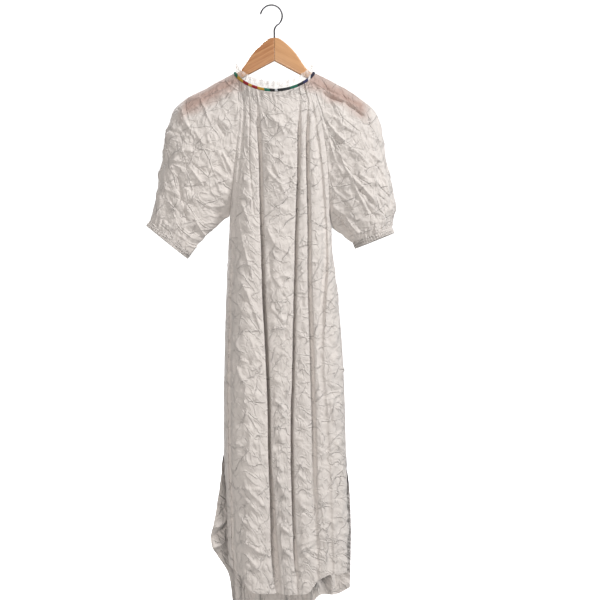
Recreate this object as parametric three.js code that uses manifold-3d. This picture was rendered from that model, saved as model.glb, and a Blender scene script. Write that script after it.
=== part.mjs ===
// A gathered cotton cover-up dress hanging from a flat wooden hanger.
// Millimetres, +Z up, +X to the right of someone who faces the dress, and the front faces -Y.
// The origin is the inside top of the hook, where a rail carries it.
//
// The cloth is cut as a front, a back and two raglan sleeves. A narrow binding holds the gathered neck edge
// and a frill stands above it. Elastic bands gather the sleeve ends. Each piece is a wall built on a grid
// of points that runs through the middle of the cloth. Rows run down the body, or from the raglan seam to
// the cuff, and two pieces that are sewn together share the points of their seam.

import * as THREE from "three";
import { mergeVertices } from "three/addons/utils/BufferGeometryUtils.js";
import Module from "manifold-3d";

const wasm = await Module();
wasm.setup();

// ---------------------------------------------------------------- driving dimensions

const CLOTH = 1.6; // wall of every cotton panel
const SEAM = 0.3; // gap between two pieces that are sewn together

const WIRE = 3.6; // hook wire, diameter
const HOOK_RADIUS = 23.9; // of the wire's centreline
const STEM_X = 6.6; // the hook's stem and the hanger's middle
const STEM_END = -91.5; // its lower end, in the bore
const WOOD = { thick: 12, round: 3, bore: 22 };
const ARM = { level: 84, top: -149, slope: 0.55, notch: -122, under: 0.53 };

const NECK = { halfWidth: 87, front: 46, back: 40, frontDrop: 45, backDrop: 34, lift: 4 };
const BINDING = { high: 6.5, thick: 3, stations: 44 };
const FRILL = { high: 18, waves: 38, foot: 0.4, edge: 2.4, lean: 2, thick: 1.2 };
const CUFF = { high: 14, waves: 26, wave: 1.1, thick: 1.8 };

const RAGLAN = 60; // degrees from the middle of the neck to each raglan seam
const SLIT_TOP = -985; // height where both side seams stop and the slits begin

// Grid sizes: intervals between points.
const RAGLAN_ROWS = 11; // neck to armpit
const SEAM_ROWS = 5; // armpit to the top of the slit
const SLIT_ROWS = 5; // slit to hem
const NECK_COLUMNS = 3; // of each half sleeve, along the neck
const SLEEVE_STEPS = [0, 0.11, 0.22, 0.3, 0.35, 0.4, 0.47, 0.57, 0.7, 0.85, 1]; // raglan seam to cuff

// ---------------------------------------------------------------- tables

// Half of the hanger above its straight upper edge: distance from the middle, and height of the top.
const HUMP = [
  { out: 0.15, top: -70 },
  { out: 10, top: -71.5 },
  { out: 20, top: -78 },
  { out: 34, top: -90 },
  { out: 47, top: -104 },
  { out: 58, top: -120 },
  { out: 69, top: -136 },
  { out: 77, top: -144 },
];
// The rest of the arm: distance from the middle, how far the upper and lower edges draw in, and how thick.
const TIP = [
  { out: 84, draw: 0, thick: 12 },
  { out: 120, draw: 0, thick: 12 },
  { out: 160, draw: 0, thick: 11 },
  { out: 188, draw: 0.5, thick: 10 },
  { out: 198, draw: 2, thick: 9 },
  { out: 204, draw: 4.6, thick: 7 },
  { out: 206.5, draw: 7, thick: 4.5 },
];
// The wire of the hook from its tip, over the rail and down the stem: the middle of the wire.
const HOOK_BEND = [
  { x: 11.9, z: -43 },
  { x: 8.2, z: -48.2 },
  { x: 6.6, z: -54 },
  { x: 6.6, z: -63 },
  { x: 6.6, z: STEM_END },
];

// The raglan seams from the neck down to the armpit: height, how far right, and how far in front and behind.
const RAGLAN_LEFT = [
  { z: -235, x: -69, front: 34, back: 31 },
  { z: -320, x: -76, front: 35, back: 33 },
  { z: -400, x: -84, front: 27, back: 26 },
  { z: -447, x: -90, front: 12, back: 12 },
  { z: -463, x: -92, front: 0, back: 0 },
];
const RAGLAN_RIGHT = [
  { z: -235, x: 104, front: 34, back: 31 },
  { z: -320, x: 120, front: 35, back: 33 },
  { z: -410, x: 127, front: 29, back: 28 },
  { z: -468, x: 130, front: 13, back: 13 },
  { z: -489, x: 134, front: 0, back: 0 },
];

// The outline of the body below the armpits, and how far its front and back stand off the middle.
const BODY = [
  { z: -188, left: -92, right: 134, front: 45, back: 41 },
  { z: -300, left: -92, right: 134, front: 48, back: 46 },
  { z: -463, left: -92, right: 132, front: 48, back: 47 },
  { z: -540, left: -95, right: 135, front: 49, back: 48 },
  { z: -650, left: -100, right: 148, front: 50, back: 48 },
  { z: -760, left: -103, right: 157, front: 50, back: 48 },
  { z: -870, left: -105, right: 162, front: 50, back: 49 },
  { z: -985, left: -105, right: 165, front: 50, back: 49 },
  { z: -1150, left: -105, right: 172, front: 45, back: 40 },
  { z: -1330, left: -105, right: 172, front: 36, back: 28 },
];

// The free edges beside the slits: height, how far right, and how far in front (-) or behind (+).
const SLIT_EDGES = {
  front: {
    left: [
      { z: -985, x: -105, y: 0 },
      { z: -1090, x: -98, y: -8 },
      { z: -1180, x: -96, y: -13 },
      { z: -1226, x: -91, y: -16 },
    ],
    right: [
      { z: -985, x: 165, y: 0 },
      { z: -1090, x: 168, y: -10 },
      { z: -1180, x: 167, y: -18 },
      { z: -1242, x: 165, y: -22 },
    ],
  },
  back: {
    left: [
      { z: -985, x: -105, y: 0 },
      { z: -1050, x: -113, y: 1 },
      { z: -1118, x: -123, y: -9 },
      { z: -1182, x: -131, y: -15 },
      { z: -1245, x: -96, y: 2 },
      { z: -1312, x: -86, y: 18 },
    ],
    right: [
      { z: -985, x: 165, y: 0 },
      { z: -1090, x: 174, y: 12 },
      { z: -1180, x: 176, y: 20 },
      { z: -1284, x: 174, y: 24 },
    ],
  },
};
// The hems: how far right, and height.
const HEM = {
  front: [
    { x: -91, z: -1226 },
    { x: -68, z: -1247 },
    { x: -44, z: -1279 },
    { x: 10, z: -1285 },
    { x: 80, z: -1284 },
    { x: 102, z: -1258 },
    { x: 124, z: -1246 },
    { x: 165, z: -1242 },
  ],
  back: [
    { x: -86, z: -1312 },
    { x: -50, z: -1322 },
    { x: 20, z: -1329 },
    { x: 84, z: -1324 },
    { x: 108, z: -1303 },
    { x: 146, z: -1299 },
    { x: 174, z: -1284 },
  ],
};

// The deep folds that fall from the gathers. A row is one level of one fold: the middle of its groove, how
// deep it goes, and the radius of its round bottom, which is half the width of the open groove.
const FRONT_FOLDS = {
  leftSide: [
    { z: -188, x: -66, deep: 2, round: 4 },
    { z: -460, x: -78, deep: 3, round: 4 },
    { z: -650, x: -88, deep: 7, round: 4 },
    { z: -980, x: -89, deep: 8, round: 4 },
    { z: -1320, x: -78, deep: 6, round: 6 },
  ],
  main: [
    { z: -188, x: -26, deep: 5, round: 4 },
    { z: -350, x: -22, deep: 13, round: 4 },
    { z: -540, x: -18, deep: 20, round: 4 },
    { z: -650, x: -14, deep: 26, round: 4 },
    { z: -860, x: -5, deep: 28, round: 3.5 },
    { z: -980, x: -2, deep: 25, round: 3.2 },
    { z: -1140, x: 7, deep: 22, round: 7 },
    { z: -1215, x: 13, deep: 13, round: 8 },
    { z: -1255, x: 16, deep: 4, round: 8 },
    { z: -1320, x: 18, deep: 3, round: 8 },
  ],
  middle: [
    { z: -188, x: 58, deep: 6, round: 3.5 },
    { z: -350, x: 59, deep: 14, round: 3 },
    { z: -650, x: 52, deep: 18, round: 3 },
    { z: -980, x: 46, deep: 20, round: 3 },
    { z: -1150, x: 52, deep: 13, round: 3.5 },
    { z: -1220, x: 56, deep: 4, round: 5 },
    { z: -1320, x: 60, deep: 3, round: 6 },
  ],
  right: [
    { z: -188, x: 76, deep: 6, round: 3.5 },
    { z: -350, x: 79, deep: 12, round: 3 },
    { z: -650, x: 86, deep: 12, round: 4.5 },
    { z: -980, x: 94, deep: 11, round: 5 },
    { z: -1150, x: 98, deep: 4, round: 6 },
    { z: -1320, x: 104, deep: 3, round: 7 },
  ],
  rightSide: [
    { z: -188, x: 84, deep: 3, round: 5 },
    { z: -350, x: 106, deep: 5, round: 6 },
    { z: -540, x: 118, deep: 10, round: 6 },
    { z: -650, x: 112, deep: 9, round: 7 },
    { z: -760, x: 108, deep: 4, round: 9 },
    { z: -980, x: 122, deep: 3, round: 10 },
    { z: -1320, x: 134, deep: 4, round: 9 },
  ],
};
const BACK_FOLDS = {
  leftSide: [
    { z: -188, x: -66, deep: 4, round: 4 },
    { z: -460, x: -68, deep: 8, round: 5 },
    { z: -650, x: -72, deep: 14, round: 6 },
    { z: -980, x: -76, deep: 14, round: 6 },
    { z: -1100, x: -74, deep: 6, round: 6 },
    { z: -1320, x: -70, deep: 4, round: 6 },
  ],
  left: [
    { z: -188, x: -40, deep: 6, round: 4 },
    { z: -350, x: -38, deep: 16, round: 4 },
    { z: -650, x: -34, deep: 22, round: 4 },
    { z: -980, x: -36, deep: 23, round: 5 },
    { z: -1320, x: -30, deep: 9, round: 6 },
  ],
  middle: [
    { z: -188, x: 8, deep: 7, round: 6 },
    { z: -350, x: 12, deep: 17, round: 5 },
    { z: -650, x: 18, deep: 20, round: 4 },
    { z: -980, x: 22, deep: 21, round: 4 },
    { z: -1320, x: 28, deep: 8, round: 6 },
  ],
  right: [
    { z: -188, x: 50, deep: 6, round: 4 },
    { z: -350, x: 58, deep: 15, round: 4 },
    { z: -650, x: 70, deep: 21, round: 4 },
    { z: -980, x: 80, deep: 22, round: 5 },
    { z: -1320, x: 84, deep: 9, round: 6 },
  ],
  rightSide: [
    { z: -188, x: 80, deep: 3, round: 5 },
    { z: -350, x: 98, deep: 8, round: 5 },
    { z: -650, x: 116, deep: 15, round: 6 },
    { z: -980, x: 128, deep: 15, round: 6 },
    { z: -1320, x: 134, deep: 5, round: 6 },
  ],
};

// The sleeves seen from the front. `over` runs from the neck along the hanger's arm, round the shoulder and
// down to the cuff, and `under` from the armpit to the cuff. `cuff` gives the sleeve's end.
const SLEEVE_LEFT = {
  side: -1,
  over: [
    { x: -121, z: -168.5 },
    { x: -163, z: -191 },
    { x: -192, z: -207 },
    { x: -213, z: -227 },
    { x: -224, z: -253 },
    { x: -233, z: -290 },
    { x: -241, z: -335 },
    { x: -249, z: -385 },
    { x: -257, z: -432 },
    { x: -266, z: -473 },
  ],
  under: [
    { x: -105, z: -472 },
    { x: -122, z: -484 },
    { x: -140, z: -503 },
    { x: -158, z: -524 },
    { x: -176, z: -545 },
  ],
  cuffDepth: 24,
  puff: 9,
};
const SLEEVE_RIGHT = {
  side: 1,
  over: [
    { x: 133, z: -166 },
    { x: 169, z: -186 },
    { x: 202, z: -208 },
    { x: 226, z: -229 },
    { x: 238, z: -255 },
    { x: 247, z: -292 },
    { x: 254, z: -340 },
    { x: 262, z: -370 },
    { x: 270, z: -415 },
    { x: 273, z: -450 },
    { x: 265, z: -487 },
  ],
  under: [
    { x: 143, z: -496 },
    { x: 153, z: -503 },
    { x: 165, z: -512 },
    { x: 180, z: -521 },
  ],
  cuffDepth: 30,
  puff: 9,
};

// ---------------------------------------------------------------- small helpers

const { sin, cos, abs, min, max, sqrt, acos, PI } = Math;
const rad = THREE.MathUtils.degToRad;
const lerp = THREE.MathUtils.lerp;
const vec = (x, y, z) => new THREE.Vector3(x, y, z);

// One column of a table on a smooth curve through its rows, at a place along another column of it.
function column(rows, key, place, along = "z") {
  const last = rows.length - 1;
  const way = Math.sign(rows[last][along] - rows[0][along]);
  const passed = (row) => way * (place - row[along]);
  if (passed(rows[0]) <= 0) return rows[0][key];
  if (passed(rows[last]) >= 0) return rows[last][key];
  const i = rows.findIndex((row) => passed(row) < 0) - 1;
  const slope = (k) => {
    const a = rows[max(k - 1, 0)];
    const b = rows[min(k + 1, last)];
    return (b[key] - a[key]) / (b[along] - a[along]);
  };
  const [a, b] = [rows[i], rows[i + 1]];
  const span = b[along] - a[along];
  const t = (place - a[along]) / span;
  const eased = lerp(a[key], b[key], t * t * (3 - 2 * t));
  return eased + span * t * (1 - t) * ((1 - t) * slope(i) - t * slope(i + 1));
}

// A smooth curve in space through a list of points.
const through = (points) => new THREE.CatmullRomCurve3(points, false, "centripetal");

// ---------------------------------------------------------------- the hanger's arm and the neck line

// Height of the wooden arm's top at a distance from the hanger's middle.
const armTop = (out) => ARM.top - (out - ARM.level) * ARM.slope;

const NECK_Z = armTop(NECK.halfWidth) + NECK.lift;

// The middle of the binding. The angle is 0 at the front, 90 degrees at the right and 180 at the back.
function neckPoint(angle) {
  const [c, s] = [cos(angle), sin(angle)];
  const front = c > 0;
  const drop = (front ? NECK.frontDrop : NECK.backDrop) * abs(c) ** 1.4;
  return vec(STEM_X + NECK.halfWidth * s, -(front ? NECK.front : NECK.back) * c, NECK_Z - drop);
}

// The way the cloth leaves the binding: straight down in front and behind, along the arms at the sides.
function neckDown(angle) {
  const [c, s] = [cos(angle), sin(angle)];
  return vec(0.9 * s ** 3, -0.2 * c, -(1 - 0.52 * s * s)).normalize();
}

// The gathered edge of the panels, a seam's width below the binding.
const neckEdge = (angle) =>
  neckPoint(angle).addScaledVector(neckDown(angle), BINDING.high / 2 + SEAM);

// ---------------------------------------------------------------- seams

// The raglan seam of one side of one panel as points, from the neck to the armpit, closer together at the
// neck, where the gathers are. face is -1 for the front and 1 for the back.
function raglanSeam(side, face) {
  const turn = face < 0 ? rad(RAGLAN) : PI - rad(RAGLAN);
  const rows = side < 0 ? RAGLAN_LEFT : RAGLAN_RIGHT;
  const curve = through([
    neckEdge(side * turn),
    ...rows.map((row) => vec(row.x, face < 0 ? -row.front : row.back, row.z)),
  ]);
  return Array.from({ length: RAGLAN_ROWS + 1 }, (_, i) => curve.getPointAt((i / RAGLAN_ROWS) ** 1.25));
}

// The side seam below the armpit, then the free edge beside the slit, as points.
function sideEdge(side, face) {
  const name = side < 0 ? "left" : "right";
  const rows = SLIT_EDGES[face < 0 ? "front" : "back"][name];
  const armpit = (side < 0 ? RAGLAN_LEFT : RAGLAN_RIGHT).at(-1);
  const edge = [];
  for (let i = 1; i <= SEAM_ROWS; i++) {
    const z = lerp(armpit.z, SLIT_TOP, i / SEAM_ROWS);
    edge.push(vec(column(BODY, name, z), 0, z));
  }
  for (let i = 1; i <= SLIT_ROWS; i++) {
    const z = lerp(SLIT_TOP, rows.at(-1).z, i / SLIT_ROWS);
    edge.push(vec(column(rows, "x", z), column(rows, "y", z), z));
  }
  return edge;
}

// ---------------------------------------------------------------- folds

const LIP = 5; // radius of the round edge where a fold leaves the panel

// Half of a fold's section: round its bottom, up its side and over the lip. way goes from 0 in the middle
// of the bottom to 1 on the panel. Gives how far across and how far in that point lies.
function foldSection(way, deep, round) {
  const both = round + LIP;
  const turn = deep < both ? acos(1 - deep / both) : PI / 2;
  const straight = max(deep - both, 0);
  const length = way * (both * turn + straight);
  if (length < round * turn) {
    const a = length / round;
    return { across: round * sin(a), inward: deep - round * (1 - cos(a)) };
  }
  const side = length - round * turn;
  const lip = LIP * (1 - cos(turn));
  if (side < straight) return { across: round, inward: lip + straight - side };
  const a = turn - (side - straight) / LIP;
  return { across: both * sin(turn) - LIP * sin(a), inward: LIP * (1 - cos(a)) };
}

// The columns of a panel: plain stretches of cloth between folds, and the stations of each fold.
function panelColumns(folds, plain) {
  const names = Object.keys(folds);
  const made = [];
  for (let k = 0; k <= names.length; k++) {
    for (let i = 0; i < plain[k]; i++) made.push({ from: k - 1, part: i / plain[k] });
    if (k < names.length) for (let q = -3; q < 3; q++) made.push({ fold: k, way: q / 3 });
  }
  made.push({ from: names.length - 1, part: 1 });
  return made;
}

// ---------------------------------------------------------------- front and back

const FLATNESS = 4.5; // of a body panel seen from above, where 2 would be half an ellipse
// How much straighter the back runs in from its free edges, level by level: the left corner hangs flat.
const SLACK = [
  { z: -985, more: 0 },
  { z: -1100, more: 1.5 },
  { z: -1182, more: 2.4 },
  { z: -1245, more: 1.6 },
  { z: -1312, more: 0.8 },
];
const GATHER = { pitch: 3, high: 2.4, fade: 120 }; // columns in one gather, how high it stands, its length
const EDGE = 5; // plain cloth kept between a fold and the panel's edge
const EVEN = 110; // distance below the neck over which the gathers turn into the deep folds

// A body panel as a grid of points. face is -1 for the front and 1 for the back.
function bodyGrid(face, folds, plain) {
  const lefts = [...raglanSeam(-1, face), ...sideEdge(-1, face)];
  const rights = [...raglanSeam(1, face), ...sideEdge(1, face)];
  const columns = panelColumns(folds, plain);
  const tables = Object.values(folds);
  const hem = HEM[face < 0 ? "front" : "back"];
  const lowest = lefts.length - 1;

  const openPart = (i) => max(0, (i - RAGLAN_ROWS - SEAM_ROWS) / SLIT_ROWS);
  const section = (i, share) => {
    const [a, b] = [lefts[i], rights[i]];
    const z = lerp(a.z, b.z, share);
    const edge = face * lerp(a.y, b.y, share);
    const deep = column(BODY, face < 0 ? "front" : "back", z);
    // The panel curves in slower where its edge already stands off the middle, or hangs slack in a slit.
    const start = 0.5 + (0.5 * edge) / deep + (face < 0 ? 0 : column(SLACK, "more", z));
    const round = max(0, 1 - abs(2 * share - 1) ** FLATNESS) ** start;
    return vec(lerp(a.x, b.x, share), face * lerp(edge, deep, round), z);
  };
  const neckRow = (share) => {
    const angle = lerp(-rad(RAGLAN), rad(RAGLAN), share);
    return neckEdge(face < 0 ? angle : PI - angle);
  };

  return lefts.map((left, i) => {
    const below = neckRow(0.5).z - (left.z + rights[i].z) / 2;
    const fromNeck = max(0, 1 - i / RAGLAN_ROWS) ** 1.5;
    const even = i <= RAGLAN_ROWS ? 1 - THREE.MathUtils.smoothstep(below, 0, EVEN) : 0;
    const z = (left.z + rights[i].z) / 2;
    const level = tables.map((rows) => {
      const [deep, round] = [column(rows, "deep", z), column(rows, "round", z)];
      const reach = foldSection(1, deep, round).across;
      const room = reach + EDGE;
      const x = min(max(column(rows, "x", z), left.x + room), rights[i].x - room);
      return { x, deep, round, reach };
    });
    const lip = (k, way) => level[k].x + way * level[k].reach;

    return columns.map((col, j) => {
      const evenShare = j / (columns.length - 1);
      let x;
      let inward = 0;
      if (col.fold !== undefined) {
        const { deep, round } = level[col.fold];
        const at = foldSection(abs(col.way), deep, round);
        x = level[col.fold].x + Math.sign(col.way) * at.across;
        inward = at.inward;
      } else {
        const start = col.from < 0 ? left.x : lip(col.from, 1);
        const end = col.from + 1 < tables.length ? lip(col.from + 1, -1) : rights[i].x;
        x = lerp(start, end, col.part);
        const edgePiece = col.from < 0 || col.from + 1 === tables.length;
        if (!edgePiece) inward = -0.09 * (end - start) * sin(PI * col.part);
      }
      const share = lerp((x - left.x) / (rights[i].x - left.x), evenShare, even);
      const p = section(i, share);
      if (fromNeck > 0) p.add(neckRow(share).sub(section(0, share)).multiplyScalar(fromNeck));
      const corners = lerp(lefts[lowest].z, rights[lowest].z, share);
      p.z += (column(hem, "z", x, "x") - corners) * openPart(i);
      p.y -= face * inward * (1 - even);
      // Gathers stand off the panel just below the binding and fade as they fall.
      const fall = max(below, 0) / GATHER.fade;
      const gather = GATHER.high * (i ? max(0, 1 - fall) : 0.3);
      const inside = j > 0 && j < columns.length - 1;
      if (inside) p.y += face * gather * cos((2 * PI * j) / GATHER.pitch);
      return p;
    });
  });
}

// ---------------------------------------------------------------- sleeves

const flat = (row) => vec(row.x, 0, row.z);

// A point of a sleeve's end. The turn starts on the outer side and goes round the front.
function sleeveEnd(sleeve, turn) {
  const [outer, inner] = [flat(sleeve.over.at(-1)), flat(sleeve.under.at(-1))];
  const p = outer.lerp(inner, (1 - cos(turn)) / 2);
  p.y = -sleeve.cuffDepth * sin(turn);
  return p;
}

// The way the cuff leaves the sleeve's end.
function cuffDown(sleeve) {
  const along = sleeveEnd(sleeve, PI).sub(sleeveEnd(sleeve, 0)).normalize();
  return vec(sleeve.side * abs(along.z), 0, -abs(along.x));
}

// A sleeve as a grid of rings from the raglan seam to the cuff. Each ring starts on top, at the shoulder
// line, goes down the front to the underarm and comes back up behind.
function sleeveGrid(sleeve) {
  const { side } = sleeve;
  const half = NECK_COLUMNS + RAGLAN_ROWS;
  const seamHalf = (face) => {
    const turn = face < 0 ? rad(RAGLAN) : PI - rad(RAGLAN);
    const neck = Array.from({ length: NECK_COLUMNS }, (_, m) =>
      neckEdge(side * lerp(PI / 2, turn, m / NECK_COLUMNS)),
    );
    return [...neck, ...raglanSeam(side, face)];
  };
  const armpit = (side < 0 ? RAGLAN_LEFT : RAGLAN_RIGHT).at(-1);
  const over = through([neckEdge((side * PI) / 2), ...sleeve.over.map(flat)]);
  const under = through([flat(armpit), ...sleeve.under.map(flat)]);
  const [outer, inner] = [sleeveEnd(sleeve, 0), sleeveEnd(sleeve, PI)];
  const patch = (face) => {
    const seam = seamHalf(face);
    return (s, m) => {
      const t = m / half;
      const w = (1 - cos(PI * t)) / 2;
      const top = over.getPointAt(s);
      const bottom = under.getPointAt(s);
      const p = seam[m].clone().lerp(sleeveEnd(sleeve, -face * PI * t), s);
      p.add(top.clone().lerp(bottom, w));
      const from = seam[0].clone().lerp(outer, s);
      p.sub(from.lerp(seam[half].clone().lerp(inner, s), w));
      p.y += face * sleeve.puff * sin(PI * t) * sin(PI * s);
      // Gathers run up from the cuff.
      const near = max(0, (s - 0.72) / 0.28);
      const gather = 2.6 * near * (m % 2 ? 1 : -1);
      if (m > 0 && m < half) p.y += face * gather;
      return p;
    };
  };
  const [front, back] = [patch(-1), patch(1)];
  return SLEEVE_STEPS.map((s) => {
    const ring = [];
    for (let m = 0; m <= half; m++) ring.push(front(s, m));
    for (let m = half - 1; m > 0; m--) ring.push(back(s, m));
    return ring;
  });
}

// ---------------------------------------------------------------- walls

// Unit normals of a grid, and which way out is: sign turns them all.
function gridNormals(grid, closed, sign) {
  const [rows, cols] = [grid.length, grid[0].length];
  return grid.map((row, i) =>
    row.map((_, j) => {
      const up = grid[max(i - 1, 0)][j];
      const down = grid[min(i + 1, rows - 1)][j];
      const before = closed ? row[(j + cols - 1) % cols] : row[max(j - 1, 0)];
      const after = closed ? row[(j + 1) % cols] : row[min(j + 1, cols - 1)];
      const along = after.clone().sub(before);
      return along.cross(down.clone().sub(up)).multiplyScalar(sign).normalize();
    }),
  );
}

// Sewn edges share their normals, so that the two cut edges stay parallel.
function share(...places) {
  const mean = vec(0, 0, 0);
  places.forEach(([normals, i, j]) => mean.add(normals[i][j]));
  mean.normalize();
  places.forEach(([normals, i, j]) => normals[i][j].copy(mean));
}

// Moves the points of a sewn edge back from the seam, within the cloth and square to the seam.
function parted(grid, normals, places) {
  const moved = grid.map((row) => row.map((p) => p.clone()));
  places.forEach(({ i, j, di, dj, along }) => {
    const inside = grid[i + di][j + dj].clone().sub(grid[i][j]);
    const back = normals[i][j].clone().cross(along).normalize();
    if (back.dot(inside) < 0) back.negate();
    moved[i][j].addScaledVector(back, SEAM / 2 + 0.02);
  });
  return moved;
}

// Turns the normals of an edge square to a direction, so that the cut edge does not lean over its neighbour.
function square(normals, i, directions) {
  normals[i].forEach((n, j) => n.addScaledVector(directions[j], -n.dot(directions[j])).normalize());
}

// A closed wall round a grid of points. A closed grid is a tube, an open one a sheet.
function wall(grid, normals, thick, closed) {
  const [rows, cols] = [grid.length, grid[0].length];
  const positions = [];
  for (const way of [1, -1]) {
    grid.forEach((row, i) =>
      row.forEach((p, j) => {
        const q = p.clone().addScaledVector(normals[i][j], (way * thick) / 2);
        positions.push(q.x, q.y, q.z);
      }),
    );
  }
  const at = (side, i, j) => side * rows * cols + i * cols + (j % cols);
  const faces = [];
  const quad = (a, b, c, d) => faces.push(a, b, c, a, c, d);
  const lastColumn = closed ? cols : cols - 1;
  for (let j = 0; j < lastColumn; j++) {
    for (let i = 0; i < rows - 1; i++) {
      quad(at(0, i, j), at(0, i + 1, j), at(0, i + 1, j + 1), at(0, i, j + 1));
      quad(at(1, i, j), at(1, i, j + 1), at(1, i + 1, j + 1), at(1, i + 1, j));
    }
    const end = rows - 1;
    quad(at(0, 0, j), at(0, 0, j + 1), at(1, 0, j + 1), at(1, 0, j));
    quad(at(0, end, j), at(1, end, j), at(1, end, j + 1), at(0, end, j + 1));
  }
  if (!closed) {
    const end = cols - 1;
    for (let i = 0; i < rows - 1; i++) {
      quad(at(0, i, 0), at(1, i, 0), at(1, i + 1, 0), at(0, i + 1, 0));
      quad(at(0, i, end), at(0, i + 1, end), at(1, i + 1, end), at(1, i, end));
    }
  }
  return closedMesh(positions, faces);
}

// A mesh whose faces look outwards, whichever way round they were listed.
function closedMesh(positions, faces) {
  const corner = (k) => vec(positions[3 * k], positions[3 * k + 1], positions[3 * k + 2]);
  let volume = 0;
  for (let f = 0; f < faces.length; f += 3) {
    volume += corner(faces[f]).dot(corner(faces[f + 1]).cross(corner(faces[f + 2])));
  }
  if (volume < 0) faces.reverse();
  const geometry = new THREE.BufferGeometry();
  geometry.setAttribute("position", new THREE.Float32BufferAttribute(positions, 3));
  geometry.setIndex(faces);
  geometry.computeVertexNormals();
  return geometry;
}

// A solid skinned over rings of points. The last ring joins the first in a loop, or both ends are capped.
function skin(rings, loop) {
  const around = rings[0].length;
  const positions = rings.flat().flatMap((p) => [p.x, p.y, p.z]);
  const faces = [];
  const joined = loop ? rings.length : rings.length - 1;
  for (let k = 0; k < joined; k++) {
    const [a, b] = [k * around, ((k + 1) % rings.length) * around];
    for (let m = 0; m < around; m++) {
      const n = (m + 1) % around;
      faces.push(a + m, b + m, b + n, a + m, b + n, a + n);
    }
  }
  if (!loop) {
    const end = (rings.length - 1) * around;
    for (let m = 1; m < around - 1; m++) {
      faces.push(0, m, m + 1);
      faces.push(end, end + m + 1, end + m);
    }
  }
  return closedMesh(positions, faces);
}

// One closed geometry with another cut away from it.
function minus(geometry, tool) {
  const solid = (source) => {
    const bare = new THREE.BufferGeometry();
    bare.setAttribute("position", source.getAttribute("position"));
    bare.setIndex(source.getIndex());
    const merged = mergeVertices(bare, 1e-4);
    const mesh = new wasm.Mesh({
      numProp: 3,
      vertProperties: new Float32Array(merged.getAttribute("position").array),
      triVerts: new Uint32Array(merged.getIndex().array),
    });
    return new wasm.Manifold(mesh);
  };
  const cut = solid(geometry).subtract(solid(tool)).getMesh();
  return closedMesh(Array.from(cut.vertProperties), Array.from(cut.triVerts));
}

// ---------------------------------------------------------------- sewing the panels together

function panels() {
  const front = bodyGrid(-1, FRONT_FOLDS, [1, 4, 4, 2, 3, 2]);
  const back = bodyGrid(1, BACK_FOLDS, [2, 2, 3, 3, 2, 2]);
  const left = sleeveGrid(SLEEVE_LEFT);
  const right = sleeveGrid(SLEEVE_RIGHT);
  const normals = {
    front: gridNormals(front, false, -1),
    back: gridNormals(back, false, 1),
    left: gridNormals(left, true, -1),
    right: gridNormals(right, true, 1),
  };
  const half = NECK_COLUMNS + RAGLAN_ROWS;
  const around = 2 * half;
  const wide = { front: front[0].length - 1, back: back[0].length - 1 };

  for (let i = 0; i < RAGLAN_ROWS; i++) {
    const m = NECK_COLUMNS + i;
    share([normals.front, i, 0], [normals.left, 0, m]);
    share([normals.front, i, wide.front], [normals.right, 0, m]);
    share([normals.back, i, 0], [normals.left, 0, around - m]);
    share([normals.back, i, wide.back], [normals.right, 0, around - m]);
  }
  share([normals.front, RAGLAN_ROWS, 0], [normals.back, RAGLAN_ROWS, 0], [normals.left, 0, half]);
  share(
    [normals.front, RAGLAN_ROWS, wide.front],
    [normals.back, RAGLAN_ROWS, wide.back],
    [normals.right, 0, half],
  );
  for (let i = RAGLAN_ROWS + 1; i <= RAGLAN_ROWS + SEAM_ROWS; i++) {
    share([normals.front, i, 0], [normals.back, i, 0]);
    share([normals.front, i, wide.front], [normals.back, i, wide.back]);
  }

  const neckDowns = (turn, count) => Array.from({ length: count }, (_, j) => neckDown(turn(j)));
  const across = (share) => lerp(-rad(RAGLAN), rad(RAGLAN), share);
  square(normals.front, 0, neckDowns((j) => across(j / wide.front), wide.front + 1));
  square(normals.back, 0, neckDowns((j) => PI - across(j / wide.back), wide.back + 1));
  const cuffDowns = (sleeve) => Array(around).fill(cuffDown(sleeve));
  square(normals.left, SLEEVE_STEPS.length - 1, cuffDowns(SLEEVE_LEFT));
  square(normals.right, SLEEVE_STEPS.length - 1, cuffDowns(SLEEVE_RIGHT));

  const bodyEdges = (grid, last) => {
    const places = [];
    for (let i = 0; i <= RAGLAN_ROWS + SEAM_ROWS; i++) {
      const [before, after] = [max(i - 1, 0), i + 1];
      places.push({ i, j: 0, di: 0, dj: 1, along: grid[after][0].clone().sub(grid[before][0]) });
      const along = grid[after][last].clone().sub(grid[before][last]);
      places.push({ i, j: last, di: 0, dj: -1, along });
    }
    return places;
  };
  const sleeveEdges = (grid) =>
    grid[0].map((_, j) => {
      const [before, after] = [(j + around - 1) % around, (j + 1) % around];
      return { i: 0, j, di: 1, dj: 0, along: grid[0][after].clone().sub(grid[0][before]) };
    });
  const body = (grid, n, last) => wall(parted(grid, n, bodyEdges(grid, last)), n, CLOTH, false);
  const arm = (grid, n) => wall(parted(grid, n, sleeveEdges(grid)), n, CLOTH, true);
  return {
    front: body(front, normals.front, wide.front),
    back: body(back, normals.back, wide.back),
    left: arm(left, normals.left),
    right: arm(right, normals.right),
  };
}

// ---------------------------------------------------------------- neck binding and frill

// The way round the neck at an angle, seen from above.
function neckAlong(angle) {
  return neckPoint(angle + 0.01).sub(neckPoint(angle - 0.01)).normalize();
}

function neckBinding() {
  const rings = [];
  for (let k = 0; k < BINDING.stations; k++) {
    const angle = (2 * PI * k) / BINDING.stations;
    const down = neckDown(angle);
    const out = neckAlong(angle).cross(down).normalize();
    const ring = [];
    for (let m = 0; m < 8; m++) {
      const a = (2 * PI * (m + 0.5)) / 8;
      const p = neckPoint(angle).addScaledVector(down, (BINDING.high / 2) * 1.08 * sin(a));
      ring.push(p.addScaledVector(out, (BINDING.thick / 2) * 1.08 * cos(a)));
    }
    rings.push(ring);
  }
  return skin(rings, true);
}

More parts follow.
